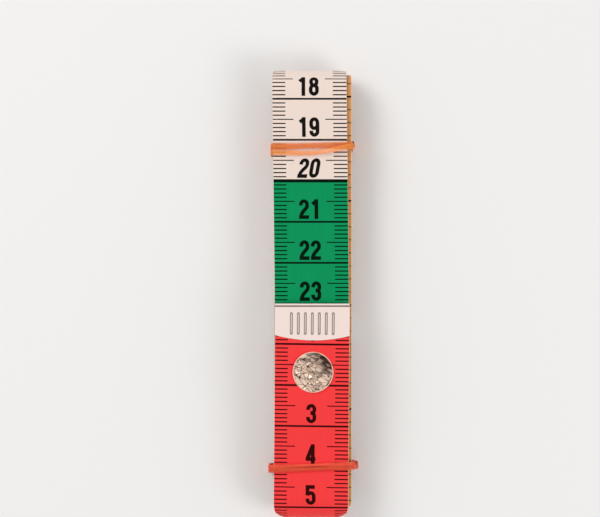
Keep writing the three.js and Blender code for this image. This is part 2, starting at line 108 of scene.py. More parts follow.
# The numbers of the sockets for two colours and their mix
MIX_FIRST = 6
MIX_SECOND = 7
MIX_RESULT = 2

# The cloth's grounds, each with the strength of its streaks and the share of it that shows through the ink,
# the order in which the tenths of the tape take them, and the breadth of two threads in millimetres
GROUNDS = (
    ("red", 0.10, 0.035),
    ("white", 0.06, 0.008),
    ("green", 0.24, 0.03),
    ("orange", 0.10, 0.03),
    ("reverse", 0.12, 0.03),
)
TENTHS = (0, 1, 2, 1, 3)
REVERSE = len(GROUNDS) - 1
CUT_EDGE = 2 * len(GROUNDS)
THREAD = 0.45

# The numbers: the step along a pen stroke
STROKE_STEP = 0.0004

# The ferrule's section from its leaf to its folded end: distance from the end with a share of the groove's
# depth, then distance from the end with a share of the bead's height, the distance of the bead's foot, and
# the share of the slot's height that is open at the fold
FOLD_REACH = 0.00095
GROOVE_SECTION = ((0.00086, 0.25), (0.00076, 0.9), (0.00066, 1), (0.00057, 0.8), (0.0005, 0))
BEAD_SECTION = ((0.0003, 1), (0.00016, 0.92), (0.00005, 0.66), (0, 0.25))
BEAD_FOOT = 0.00043
HOLLOW_END = 0.3

# The ferrule's ribs: the share of its half width that they cover, and of its length where they start and end
RIBBED_WIDTH = 0.66
RIBBED_START = 0.23
RIBBED_END = 0.86

# The press stud: the thickness of its plates, the radii of the socket with the play of its spring, of the
# stud, with the corners of its head as shares of the radius and depths below the top, of the post's pin and
# of the cap's shank and lip, the cap's rolled rim, its crown and the crown's border, the seed of its facets,
# and the longest easing of a corner as a share of a side
PLATE = 0.0003
BARREL = 0.0032
MOUTH = 0.00205
SPRING_GROOVE = 0.00235
HOLE = 0.00125
SPRING_PLAY = 0.00004
HEAD = 0.0018
HEAD_CORNERS = ((0.97, 0.0001), (0.8, 0))
NECK = 0.00135
BORE = 0.00105
PIN = 0.001
SHANK = 0.0012
LIP = 0.0017
LIP_HEIGHT = 0.0002
ROLL = 0.0002
CROWN_INSET = 0.00022
DOME = 0.3
CROWN_BORDER = 0.02
FACET_SEED = 5
LONGEST_EASE = 0.45

# The free end: its stretches from the coil outwards, the bodies that they lie between, how far below the
# first crease it parts from the coil, and where its last bend starts and ends beside its crease
STRETCHES = ("root", "lower", "middle", "stud", "tip")
FREE_BODIES = ("coil", "flap_a", "flap_b", "flap_c", "flap_snap", "flap_tip")
ROOT_MARGIN = 0.0009
BEND_IN = 0.0013
BEND_OUT = 0.0012

# The rubber bands: air under a strand, bend at the coil's edges, bluntness of a strand's section, how a
# strand wanders sideways, where a crossing strand starts to climb, how the front's middle narrows and sags,
# how the sides thin out, and how much of a strand's flank stops light
BAND_AIR = 0.00006
BAND_CORNER = 0.0009
BLUNT = 0.6
WANDERS = 3.5
WANDER_PART = 20
CLIMB_START = 0.7
BOW_POWER = 1.5
SAG_LEVEL = 0.65
SIDE_POWER = 4
FLANK = 0.25

# The lamps
LAMP_SIZE = 0.45
KEY_PLACE = (-0.5, 0.45, 0.7)
FILL_PLACE = (0.6, -0.35, 0.65)


def named(group):
    """Names each setting of a group after its key."""
    for key, setting in group.__annotations__.items():
        setting.keywords["name"] = key.replace("_", " ").title()
    return group


def length(default, description):
    """A length in metres that a user may change."""
    return FloatProperty(default=default, description=description, unit="LENGTH", precision=5)


def number(default, description, unit="NONE"):
    """A plain number that a user may change."""
    return FloatProperty(default=default, description=description, unit=unit)


def factor(default, description):
    """A share from 0 to 1 that a user may change."""
    return FloatProperty(default=default, description=description, subtype="FACTOR", min=0, max=1)


def angle_of(degrees, description):
    """An angle that a user may change."""
    return FloatProperty(default=math.radians(degrees), description=description, subtype="ANGLE")


def colour(default, description):
    """A colour as it is seen, each channel from 0 to 1."""
    return FloatVectorProperty(
        default=default, description=description, subtype="COLOR_GAMMA", size=3, min=0, max=1
    )


def group_of(kind):
    """A group of settings, described by its own note."""
    return PointerProperty(type=kind, description=kind.__doc__)


# Sizes and colours


@named
class TapeSizes(bpy.types.PropertyGroup):
    """The cloth strip and the way it is wound."""

    whole: length(1.5, "Whole length of the tape")
    width: length(0.0182, "Width of the tape")
    thickness: length(0.0003, "Thickness of the coated cloth")
    edge: length(0.00006, "Softening of the cut edges")
    layers: IntProperty(default=7, min=3, description="Layers of tape at the back of the coil")
    layer_gap: length(0.00042, "Air between two layers")
    ferrule_pitch: length(0.00092, "Spacing of the layers beside the far ferrule")
    post_pitch: length(0.00105, "Spacing of the layers beside the stud's post")
    hairpin_inset: length(0.002, "Distance of the innermost turn from the lower folds")
    tip_length: length(0.0105, "Length of the free end beyond its last crease")
    tip_rise: length(0.00105, "Height of the zero edge above the front of the coil")
    free_shift: length(0.00015, "Sideways place of the zero edge")
    lower_shift: length(-0.0002, "Sideways place of the outer turn at the lower fold")
    upper_shift: length(-0.0006, "Sideways place of the outer turn at the upper fold")
    front_shift: length(-0.00027, "Sideways place of the outer turn on the front")
    inner_shift: length(0.0002, "Sideways place of the inner turns")
    way_out_shift: length(0.0006, "Sideways place of the strand that winds out again")
    corner: length(0.0028, "Breadth of the border that curls in at the folds")
    lower_curl: length(0.0009, "How far the border curls in at the lower fold")
    upper_curl: length(0.0002, "How far the border curls in at the upper fold")
    wave: length(0.00006, "Unevenness of the layers inside the coil")
    lean: angle_of(0.8, "Lean of the free end's print")


@named
class PrintSizes(bpy.types.PropertyGroup):
    """The two printed scales."""

    tick: length(0.0033, "Length of a short mark from the edge")
    half_tick: length(0.0052, "Length of a middle mark from the edge")
    tick_line: length(0.0003, "Breadth of a short mark")
    half_line: length(0.00026, "Breadth of a middle mark")
    unit_line: length(0.00046, "Breadth of the line across the tape at each number")
    tenth_line: length(0.0008, "Breadth of the line at each tenth centimetre")
    offset: length(-0.0001, "Sideways place of the print on the cloth")
    eighth_line: length(0.0002, "Breadth of an eighth of an inch on the reverse")
    numeral: length(0.0048, "Height of the numbers")
    half_width: length(0.00077, "Half the breadth between a number's upright strokes")
    pen: length(0.00088, "Breadth of a number's strokes")
    spacing: length(0.00037, "Gap between two numerals")
    pair_shift: length(-0.0002, "Sideways place of the numbers with more than one numeral")
    baseline: length(0.00072, "Distance of a number's foot from its line")
    ink_rise: length(0.00002, "Height of the numbers' ink above the cloth")
    slant: number(0.19, "Sideways lean of the tenth numbers per height")
    condensed: factor(0.98, "Breadth of the tenth numbers as a share of the others'")


@named
class MetalSizes(bpy.types.PropertyGroup):
    """The ferrules and the press stud."""

    ferrule_length: length(0.0091, "Longest reach of the ferrule over the tape")
    ferrule_bow: length(0.0012, "How much shorter the ferrule is at its sides")
    ferrule_overhang: length(0.00002, "How far the ferrule stands out past the tape's edge")
    wall: length(0.00025, "Thickness of the ferrule's sheet")
    seat: length(0.00005, "Air between two seated pieces")
    bead: length(0.0001, "Rise of the folded edge over the ferrule's leaves")
    groove: length(0.0002, "Depth of the groove beside the folded edge")
    rib: length(0.00008, "Height of the ferrule's crimped ribs")
    rib_pitch: length(0.0017, "Spacing of the ferrule's crimped ribs")
    facets: IntProperty(default=210, min=1, description="Number of the cap's facets")
    facet_slope: number(0.6, "Steepest slope of a facet")
    facet_slant: angle_of(-15, "Lean of the facets")
    facet_stretch: number(1.9, "Length of a facet per breadth")
    # Painted shade: darkening of the cap's facets towards its upper right, standing for a darker reflection
    facet_tone: factor(0.5, "Most tarnish inside a facet")
    worn_side: number(1.1, "Tarnish gathered at the cap's upper right")
    crease: length(0.00011, "Breadth of the tarnish along a facet's border")
    rounding: length(0.00012, "Rounding of the turned pieces' edges")
    spring_split: angle_of(40, "Gap in the ring spring")


BAND_SETTINGS = {
    "strand": (length, "Middling breadth of a strand"),
    "uneven": (number, "Share by which one strand is broader, with a sign for which"),
    "spread": (length, "Distance of each strand from the band's middle"),
    "crossing": (length, "Place where the strands change sides, along the front from its middle"),
    "reach": (length, "Length over which the strands change sides"),
    "slope": (number, "Rise along the coil per breadth"),
    "inner": (length, "Half the breadth inside the band"),
    "thickness": (length, "Thickness of the rubber"),
    "side": (factor, "Share of the thickness at the coil's sides"),
    "taper": (factor, "Share by which the front's middle is narrower"),
    "gather": (factor, "Share by which the strands follow the taper"),
    "sag": (length, "How far the front's middle lies below its ends"),
    "body": (factor, "Share of the light that a face stops on the front"),
    "side_body": (factor, "Share of the light stopped elsewhere"),
    # Painted glow: the rubber emits a little light of its own colour, standing for light that spreads inside
    # it
    "glow": (factor, "Light that spreads inside the rubber"),
}


def band_group(name, note, **defaults):
    """A group of settings for a rubber band that is wound twice round the coil, with its own sizes."""
    made = {key: make(defaults[key], meaning) for key, (make, meaning) in BAND_SETTINGS.items()}
    return named(type(name, (bpy.types.PropertyGroup,), {"__doc__": note, "__annotations__": made}))


UpperBandSizes = band_group(
    "UpperBandSizes", "The upper rubber band.",
    strand=0.00152, uneven=0.1, spread=0.00082, crossing=0.0115, reach=0.013, slope=0.0475, inner=0.00972,
    thickness=0.0007, side=0.5, taper=0.18, gather=0.0, sag=0.0005, body=0.7, side_body=0.9, glow=0.06,
)
LowerBandSizes = band_group(
    "LowerBandSizes", "The lower rubber band.",
    strand=0.00108, uneven=-0.08, spread=0.00053, crossing=0.016, reach=0.004, slope=0.04, inner=0.00995,
    thickness=0.0007, side=1.0, taper=0.3, gather=1.0, sag=0.0, body=0.8, side_body=0.96, glow=0.2,
)


@named
class Colours(bpy.types.PropertyGroup):
    """Colours of the cloth, the metal, the rubber and the floor."""

    red: colour((0.995, 0.25, 0.255), "First tenth of the tape")
    white: colour((0.955, 0.88, 0.835), "Second tenth of the tape")
    green: colour((0.01, 0.585, 0.355), "Third tenth of the tape")
    orange: colour((0.95, 0.56, 0.16), "Fifth tenth of the tape")
    reverse: colour((0.9, 0.64, 0.4), "Face with the inches")
    cut: colour((0.94, 0.87, 0.78), "Cut edges of the cloth")
    lacquer: colour((0.975, 0.895, 0.86), "Ferrules")
    # Painted shade with some grime: the colour laid in the ferrules' grooves and on their ribs' flanks
    grime: colour((0.3, 0.21, 0.19), "Grooves of the ferrules")
    nickel: colour((0.99, 0.92, 0.84), "Press stud")
    struck: colour((0.995, 0.87, 0.78), "Cap's struck face")
    # Also the colour of the painted shade on the cap's upper right
    tarnish: colour((0.28, 0.17, 0.1), "Creases of the cap's struck face")
    steel: colour((0.62, 0.61, 0.6), "Ring spring")
    upper_rubber: colour((0.9, 0.445, 0.155), "Upper band")
    upper_pale: colour((1.0, 0.6, 0.27), "Upper band's paler strand")
    lower_rubber: colour((0.8, 0.28, 0.165), "Lower band")
    lower_pale: colour((0.93, 0.345, 0.235), "Lower band's paler strand")
    floor: colour((0.97, 0.965, 0.96), "Floor under the tape")


@named
class StageSizes(bpy.types.PropertyGroup):
    """Camera, light and floor."""

    camera_height: length(2.0, "Height of the camera over the floor")
    view_width: length(0.1463, "Breadth of the view at the front of the coil")
    view_x: length(-0.00288, "Middle of the view, sideways")
    view_y: length(0.00868, "Middle of the view, along the coil")
    floor_size: length(3.0, "Side of the square floor")
    sky: number(0.42, "Light from straight above")
    horizon: number(0.78, "Light from the horizon")
    key: number(3.4, "Power of the upper left lamp", unit="POWER")
    fill: number(2.2, "Power of the lower right lamp", unit="POWER")


@named
class TapeMeasure(bpy.types.PropertyGroup):
    """Everything that a user may change."""

    tape: group_of(TapeSizes)
    print: group_of(PrintSizes)
    metal: group_of(MetalSizes)
    upper_band: group_of(UpperBandSizes)
    lower_band: group_of(LowerBandSizes)
    colours: group_of(Colours)
    stage: group_of(StageSizes)


# The strip's way through the coil


def smooth(share):
    """Soft step from 0 to 1: 3 s^2 - 2 s^3 of a share held between 0 and 1."""
    share = np.clip(share, 0, 1)
    return share * share * (3 - 2 * share)


def walk(across, up):
    """Length walked so far at each point of a flat path."""
    return np.concatenate([[0], np.cumsum(np.hypot(np.diff(across), np.diff(up)))])


class TapeLine:
    """The strip's middle line as height, place and heading at any length from the zero edge. The free end
    runs down the front, the strip winds inwards over every second layer, turns back in a hairpin and winds
    out."""

    def __init__(self, sizes):
        self.sizes = sizes
        self.layer_heights()
        self.creases = {
            joint["name"]: np.array(joint["pos_m"][1:])
            for joint in frame["joints"]
            if joint["type"] == "hinge"
        }
        self.root = self.creases["free_end_lift"]
        self.plate = self.creases["crease_snap"]
        self.tip = self.creases["crease_tip"]
        self.steps = []
        self.bends = []
        self.lay_free_end()
        self.wind()
        self.along, self.y, self.z, self.heading, self.curl = np.concatenate(self.steps, axis=1)
        self.lay_sideways()

    def layer_heights(self):
        """Back layers upwards and front layers downwards from the coil's lowest and highest face."""
        sizes = self.sizes
        low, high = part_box("tape_coil")
        pitch = sizes.thickness + sizes.layer_gap
        back_steps = np.full(sizes.layers - 1, pitch)
        back_steps[:2] = sizes.ferrule_pitch
        front_steps = np.full(sizes.layers, pitch)
        front_steps[1] = sizes.post_pitch
        self.back = low.z + sizes.thickness / 2 + np.concatenate([[0], np.cumsum(back_steps)])
        self.front = high.z - sizes.thickness / 2 - np.concatenate([[0], np.cumsum(front_steps)])
        self.front_face = self.front[1] + sizes.thickness / 2
        self.lower_fold = low.y + (self.front[0] - self.back[0] + sizes.thickness) / 2
        self.upper_fold = high.y - (self.front[1] - self.back[0] + sizes.thickness) / 2

    def add(self, along, y, z, heading, curl=0.0):
        """Adds samples of the line: length so far, place, height and heading in the plane of y and z, and how
        far the strip's borders curl in, with a sign for the side that they curl to."""
        self.steps.append(np.stack(np.broadcast_arrays(along, y, z, heading, curl)).astype(float))

    def lay_free_end(self):
        """A drooping tip, a level plate under the stud's cap and a soft ramp down to the front layer."""
        length_of_tip = self.sizes.tip_length
        droop = math.asin((self.tip[1] - self.front_face - self.sizes.tip_rise) / length_of_tip)
        zero_y = self.tip[0] + length_of_tip * math.cos(droop)
        zero_z = self.tip[1] - length_of_tip * math.sin(droop)
        straight = np.array([0, TIP_STRAIGHT, 1])
        bent = np.array([0, 0, 0.5])
        heading = math.pi - droop * (1 - bent)
        tip_y = zero_y + (self.tip[0] - zero_y) * straight
        tip_z = zero_z + (self.tip[1] - zero_z) * straight
        self.add(length_of_tip * straight, tip_y, tip_z, heading)
        plate_length = self.tip[0] - self.plate[0]
        level = plate_length * np.array(PLATE_STRAIGHT)
        self.add(length_of_tip + level, self.tip[0] - level, self.tip[1], math.pi)
        share = np.linspace(1, 0, RAMP_SAMPLES)
        run = self.plate[0] - self.root[0]
        rise = self.plate[1] - self.root[1]
        ramp_y = self.root[0] + run * share
        ramp_z = self.root[1] + rise * smooth(share)
        slope_of_step = 6 * share * (1 - share)
        slope = rise / run * slope_of_step
        walked = length_of_tip + plate_length + walk(ramp_y, ramp_z)
        self.root_along = walked[-1]
        self.add(walked, ramp_y, ramp_z, math.pi + np.arctan(slope))

    def wind(self):
        """Straight runs joined by half-round bends: left-hand ones on the way in, right-hand ones after the
        hairpin, each with a radius of half the distance between the layers it joins. The borders curl in at a
        fold by as much of its radius as on the outermost turn."""
        count = self.sizes.layers
        widest = (self.front[0] - self.back[0]) / 2
        way_in = [self.back[i] if i % 2 == 0 else self.front[i] for i in range(count)] + [self.front[count]]
        way_out = [self.front[i] if i % 2 == 0 else self.back[i] for i in range(count - 1, 0, -1)]
        levels = [self.front[0]] + way_in + way_out
        self.hairpin = len(way_in)
        along, y, heading = self.root_along, self.root[0], math.pi
        share = np.linspace(0, 1, FOLD_SAMPLES)
        turn = CURL_SWEEP * np.clip((np.sin(math.pi * share) - CURL_START) / (1 - CURL_START), 0, 1)
        swell = (1 - np.sqrt(1 - turn**2)) / (1 - math.sqrt(1 - CURL_SWEEP**2))
        for index, (level, following) in enumerate(zip(levels, levels[1:])):
            line = self.upper_fold if index % 2 else self.lower_fold
            line += self.sizes.hairpin_inset if index == self.hairpin else 0
            side = 1 if index < self.hairpin else -1
            radius = abs(level - following) / 2
            start = along + abs(line - y)
            angle = heading + side * math.pi * share
            bend_y = line + side * radius * (np.sin(angle) - math.sin(heading))
            bend_z = level - side * radius * (np.cos(angle) - math.cos(heading))
            curl = self.sizes.upper_curl if index % 2 else self.sizes.lower_curl
            curl = -side * curl * radius / widest * swell
            self.add(start + math.pi * radius * share, bend_y, bend_z, angle, curl)
            along, y, heading = start + math.pi * radius, line, angle[-1]
            self.bends.append((start, along))
        tail = self.sizes.whole - along
        self.add([self.sizes.whole], y + tail * math.cos(heading), levels[-1], heading)

    def lay_sideways(self):
        """Sideways place of the strip: a straight walk between a few settled places along it."""
        sizes = self.sizes
        lower, upper, second = self.bends[:3]
        settled = [
            (0, sizes.free_shift),
            (lower[0], sizes.lower_shift),
            (lower[1] + SETTLING, 0),
            (upper[0] - SETTLING, 0),
            (upper[0], sizes.upper_shift),
            (upper[1], sizes.upper_shift),
            (upper[1] + SETTLING, sizes.front_shift),
            (upper[1] + 2 * SETTLING, 0),
            (second[0], sizes.lower_shift),
            (second[1] + SETTLING, sizes.inner_shift),
            (self.bends[self.hairpin - 1][1], sizes.inner_shift),
            (self.bends[self.hairpin + 1][0], sizes.way_out_shift),
            (sizes.whole, sizes.way_out_shift),
        ]
        self.shift_along, self.shifts = np.transpose(settled)

    def free_along(self, y):
        """Length from the zero edge to a place y on the free end, which runs down the front."""
        free = self.along <= self.bends[0][0]
        return float(np.interp(-y, -self.y[free], self.along[free]))

    def place(self, along, across, lift):
        """Points at a length along the strip, a distance across it and a height over its middle, square to
        it: y + lift sin(heading), z - lift cos(heading). The print on the free end leans a little."""
        along, across, lift = np.broadcast_arrays(along, across, lift)
        lean = math.tan(self.sizes.lean)
        fading = 1 - smooth((along - self.bends[0][0]) / (self.bends[0][1] - self.bends[0][0]))
        begun = smooth(along / self.sizes.tip_length)
        here = along + lean * fading * begun * across
        heading = np.interp(here, self.along, self.heading)
        wave = self.wave(here)
        border = np.clip((np.abs(across) - self.sizes.width / 2) / self.sizes.corner + 1, 0, 1)
        curl = border**CURL_POWER * np.interp(here, self.along, self.curl)
        lift = lift + wave + curl
        shift = np.interp(here, self.shift_along, self.shifts)
        x = shift + across + SIDEWAYS_WAVE * wave - np.sign(across) * np.abs(curl)
        y = np.interp(here, self.along, self.y) + lift * np.sin(heading)
        z = np.interp(here, self.along, self.z) - lift * np.cos(heading)
        return np.stack([x, y, z], axis=-1)

    def wave(self, along):
        """Unevenness of the layers inside the coil, two waves of unlike length that fade out before the outer
        turns: there the stud, the bands and the far ferrule hold the strip flat."""
        outer_turn = self.bends[2][1] - self.bends[0][1]
        begun = smooth((along - self.bends[2][1]) / WAVE_FADE)
        ending = smooth((self.sizes.whole - outer_turn - along) / WAVE_FADE)
        long_wave, short_wave = (np.sin(along * turning) for turning in WAVE_TURNING)
        return self.sizes.wave * begun * ending * (long_wave + SHORT_WAVE * short_wave) / (1 + SHORT_WAVE)


# Meshes


def loft_faces(rows, columns, looped):
    """Quads between neighbouring closed rings; where the rings don't join up, a face closes each end."""
    row = np.arange(rows if looped else rows - 1)[:, None]
    column = np.arange(columns)[None, :]
    here = row * columns
    there = (row + 1) % rows * columns
    beside = (column + 1) % columns
    quads = np.stack([here + column, here + beside, there + beside, there + column], axis=-1)
    faces = quads.reshape(-1, 4).tolist()
    if not looped:
        faces.append(list(range(columns)))
        faces.append(list(range((rows - 1) * columns, rows * columns)))
    return faces


def add_object(
    name, points, faces, materials, indexes=None, place=None, place_name=None, sharp=40, closed=True
):
    """A mesh object at the origin with smooth faces, sharp where two faces meet at more than an angle. It may
    carry a material number on each face and a named vector on each point."""
    mesh = bpy.data.meshes.new(name)
    mesh.from_pydata(np.reshape(points, (-1, 3)), [], faces)
    for material in materials:
        mesh.materials.append(material)
    if indexes is not None:
        mesh.polygons.foreach_set("material_index", np.asarray(indexes, dtype=np.int32))
    if place is not None:
        attribute = mesh.attributes.new(place_name, "FLOAT_VECTOR", "POINT")
        attribute.data.foreach_set("vector", np.asarray(place, dtype=np.float32).ravel())
    if closed:
        face_outwards(mesh)
    mesh.polygons.foreach_set("use_smooth", np.ones(len(mesh.polygons), dtype=bool))
    mesh.set_sharp_from_angle(angle=math.radians(sharp))
    mesh.validate()
    mesh.update()
    piece = bpy.data.objects.new(name, mesh)
    bpy.context.scene.collection.objects.link(piece)
    return piece


def face_outwards(mesh):
    """Joins points that fall together, as at a pole, and turns all faces outwards."""
    work = bmesh.new()
    work.from_mesh(mesh)
    together = 1e-8
    bmesh.ops.remove_doubles(work, verts=work.verts, dist=together)
    bmesh.ops.recalc_face_normals(work, faces=work.faces)
    work.to_mesh(mesh)
    work.free()


def lofted(name, rings, looped, materials, **details):
    """A mesh object from closed rings of points, with the details of any mesh object."""
    rows, columns = rings.shape[:2]
    return add_object(name, rings, loft_faces(rows, columns, looped), materials, **details)


# Materials


def linear(seen):
    """A seen colour as light: the standard curve with its straight foot."""
    seen = np.array(seen)
    light = np.where(seen <= 0.04045, seen / 12.92, ((seen + 0.055) / 1.055) ** 2.4)
    return (*light, 1.0)


def add_node(tree, kind, **values):
    """A new node with its settings."""
    node = tree.nodes.new(kind)
    for name, value in values.items():
        setattr(node, name, value)
    return node


def feed(tree, node, values):
    """Gives a node's inputs, by name or number, the values of other sockets or fixed ones."""
    for key, value in values.items():
        if isinstance(value, bpy.types.NodeSocket):
            tree.links.new(value, node.inputs[key])
        else:
            node.inputs[key].default_value = value


def math_node(tree, operation, first, second=0.0):
    """A sum, product or other step on two sockets or numbers, as its output socket."""
    node = add_node(tree, "ShaderNodeMath", operation=operation)
    feed(tree, node, {0: first, 1: second})
    return node.outputs[0]


def ranged(tree, share, span, start):
    """A share stretched over a span and moved to its start."""
    return math_node(tree, "ADD", math_node(tree, "MULTIPLY", share, span), start)


def parts_of(tree, vector):
    """The three parts of a vector as sockets."""
    split = add_node(tree, "ShaderNodeSeparateXYZ")
    feed(tree, split, {0: vector})
    return split.outputs


def carried(tree, name):
    """The vector that a mesh carries under a name, as a socket."""
    return add_node(tree, "ShaderNodeAttribute", attribute_name=name).outputs["Vector"]


def object_place(tree):
    """The place on the object, as a socket."""
    return add_node(tree, "ShaderNodeTexCoord").outputs["Object"]


def toned(tree, seen, value):
    """A colour made lighter or darker by a factor, as a socket."""
    tone = add_node(tree, "ShaderNodeHueSaturation")
    feed(tree, tone, {"Color": seen, "Value": value})
    return tone.outputs["Color"]


def mixed(tree, share, first, second):
    """Two colours mixed by a share of the second, as a socket."""
    mix = add_node(tree, "ShaderNodeMix", data_type="RGBA")
    feed(tree, mix, {"Factor": share, MIX_FIRST: first, MIX_SECOND: second})
    return mix.outputs[MIX_RESULT]


def new_group(name, inputs, outputs):
    """An empty shader node group with named sockets, and its input and output nodes."""
    group = bpy.data.node_groups.new(name, "ShaderNodeTree")
    for socket, kind in inputs:
        group.interface.new_socket(socket, in_out="INPUT", socket_type=kind)
    for socket, kind in outputs:
        group.interface.new_socket(socket, in_out="OUTPUT", socket_type=kind)
    return group, add_node(group, "NodeGroupInput"), add_node(group, "NodeGroupOutput")


def stretched_noise(tree, vector, scale, detail):
    """Noise on a vector that is stretched by its own scale on each axis, as its value socket."""
    mapping = add_node(tree, "ShaderNodeMapping")
    feed(tree, mapping, {"Scale": scale, "Vector": vector})
    noise = add_node(tree, "ShaderNodeTexNoise")
    feed(tree, noise, {"Scale": 1, "Detail": detail, "Vector": mapping.outputs["Vector"]})
    return noise.outputs["Fac"]


def cloth_threads():
    """Node group for coated cloth: long pale streaks along the warp in the colour, and a plain weave in the
    height, as the product of a wave across and a wave along the strip."""
    name = "cloth_threads"
    if name in bpy.data.node_groups:
        return bpy.data.node_groups[name]
    inputs = [("Place", "NodeSocketVector"), ("Ground", "NodeSocketColor"), ("Streaks", "NodeSocketFloat")]
    outputs = [("Colour", "NodeSocketColor"), ("Height", "NodeSocketFloat"), ("Roughness", "NodeSocketFloat")]
    group, entry, exit_node = new_group(name, inputs, outputs)
    place = entry.outputs["Place"]
    across, along, _ = parts_of(group, place)
    turning = 2 * math.pi / THREAD
    warp = math_node(group, "SINE", math_node(group, "MULTIPLY", across, turning))
    weft = math_node(group, "SINE", math_node(group, "MULTIPLY", along, turning))
    streak = stretched_noise(group, place, scale=(3.2, 0.05, 1), detail=3)
    blotch = stretched_noise(group, place, scale=(0.22, 0.12, 1), detail=2)
    blotch_share, middling = 0.5, 0.75
    shade = math_node(group, "SUBTRACT", ranged(group, blotch, blotch_share, streak), middling)
    value = ranged(group, shade, entry.outputs["Streaks"], 1.0)
    feed(group, exit_node, {
        "Colour": toned(group, entry.outputs["Ground"], value),
        "Height": math_node(group, "MULTIPLY", warp, weft),
        "Roughness": ranged(group, streak, span=0.2, start=0.38),
    })
    return group


def handling_wear():
    """Node group for handled metal and lacquer: clouds and fine scratches as one mask."""
    name = "handling_wear"
    if name in bpy.data.node_groups:
        return bpy.data.node_groups[name]
    inputs = [("Low", "NodeSocketFloat"), ("High", "NodeSocketFloat")]
    outputs = [("Value", "NodeSocketFloat"), ("Mask", "NodeSocketFloat")]
    group, entry, exit_node = new_group(name, inputs, outputs)
    low, high = entry.outputs["Low"], entry.outputs["High"]
    place = object_place(group)
    clouds = stretched_noise(group, place, scale=(420, 420, 420), detail=3)
    scratches = stretched_noise(group, place, scale=(9000, 500, 2500), detail=4)
    half = 0.5
    mask = math_node(group, "MULTIPLY", math_node(group, "ADD", clouds, scratches), half)
    value = ranged(group, mask, math_node(group, "SUBTRACT", high, low), low)
    feed(group, exit_node, {"Value": value, "Mask": mask})
    return group


def new_material(name, light, roughness, metallic=0.0):
    """A material with one Principled shader, and that shader and its tree."""
    material = bpy.data.materials.new(name)
    material.use_nodes = True
    tree = material.node_tree
    shader = tree.nodes["Principled BSDF"]
    feed(tree, shader, {"Base Color": light, "Roughness": roughness, "Metallic": metallic})
    return material, tree, shader


def add_bump(tree, shader, height, distance, strength):
    """A bump on a shader's normal."""
    bump = add_node(tree, "ShaderNodeBump")
    feed(tree, bump, {"Distance": distance, "Strength": strength, "Height": height})
    feed(tree, shader, {"Normal": bump.outputs["Normal"]})


def cloth(name, light, streaks, gloss=0.09):
    """Satin coated cloth of one colour, with its threads showing a little."""
    if name in bpy.data.materials:
        return bpy.data.materials[name]
    material, tree, shader = new_material(name, light, roughness=0.5)
    threads = add_node(tree, "ShaderNodeGroup", node_tree=cloth_threads())
    feed(tree, threads, {"Ground": light, "Streaks": streaks, "Place": carried(tree, CLOTH_PLACE)})
    feed(tree, shader, {
        "Base Color": threads.outputs["Colour"],
        "Roughness": threads.outputs["Roughness"],
        "Specular IOR Level": gloss,
    })
    add_bump(tree, shader, threads.outputs["Height"], distance=0.000012, strength=0.35)
    return material


def handled(name, seen, low, high, metallic=0.0, coat=0.0, dirt=0.1):
    """A handled hard surface: roughness from low to high and a slightly darker colour in its clouds."""
    if name in bpy.data.materials:
        return bpy.data.materials[name]
    material, tree, shader = new_material(name, linear(seen), (low + high) / 2, metallic)
    wear = add_node(tree, "ShaderNodeGroup", node_tree=handling_wear())
    feed(tree, wear, {"Low": low, "High": high})
    middling = 0.5
    value = ranged(tree, math_node(tree, "SUBTRACT", wear.outputs["Mask"], middling), dirt, 1.0)
    feed(tree, shader, {
        "Base Color": toned(tree, linear(seen), value),
        "Roughness": wear.outputs["Value"],
        "Coat Weight": coat,
    })
    add_bump(tree, shader, wear.outputs["Mask"], distance=0.00001, strength=0.2)
    return material


def cloth_materials(colours):
    """The strip's materials: its grounds, the ink on each of them, through which a little of the ground
    shows, and the cut edge."""
    grounds, inks = [], []
    for name, streaks, shows in GROUNDS:
        light = np.array(linear(getattr(colours, name)))
        grounds.append(cloth(f"cloth_{name}", light, streaks))
        inks.append(cloth(f"ink_on_{name}", light * (shows, shows, shows, 1), streaks, gloss=0.05))
    return grounds + inks + [cloth("cloth_cut_edge", linear(colours.cut), streaks=0.25)]


def tarnish(material, seen, patches=0.0):
    """Darkens a material by the share that its mesh carries, and in some cloudy patches of it."""
    tree = material.node_tree
    base = tree.nodes["Principled BSDF"].inputs["Base Color"]
    creased, _, _ = parts_of(tree, carried(tree, STRUCK_PLACE))
    clouds = stretched_noise(tree, object_place(tree), scale=(500, 800, 500), detail=4)
    clear = 0.56
    cloudy = math_node(tree, "MAXIMUM", math_node(tree, "SUBTRACT", clouds, clear), 0.0)
    share = math_node(tree, "MINIMUM", ranged(tree, cloudy, patches, creased), 1.0)
    tree.links.new(mixed(tree, share, base.links[0].from_socket, linear(seen)), base)


def struck_nickel(colours):
    """Nickel with tarnish along the borders of its facets and in patches."""
    material = handled("struck_nickel", colours.struck, low=0.24, high=0.44, metallic=0.3, dirt=0.12)
    tarnish(material, colours.tarnish, patches=2.2)
    return material


def white_lacquer(colours):
    """White lacquer with grime in its grooves."""
    material = handled("white_lacquer", colours.lacquer, low=0.25, high=0.5, coat=0.2, dirt=0.08)
    tarnish(material, colours.grime)
    return material


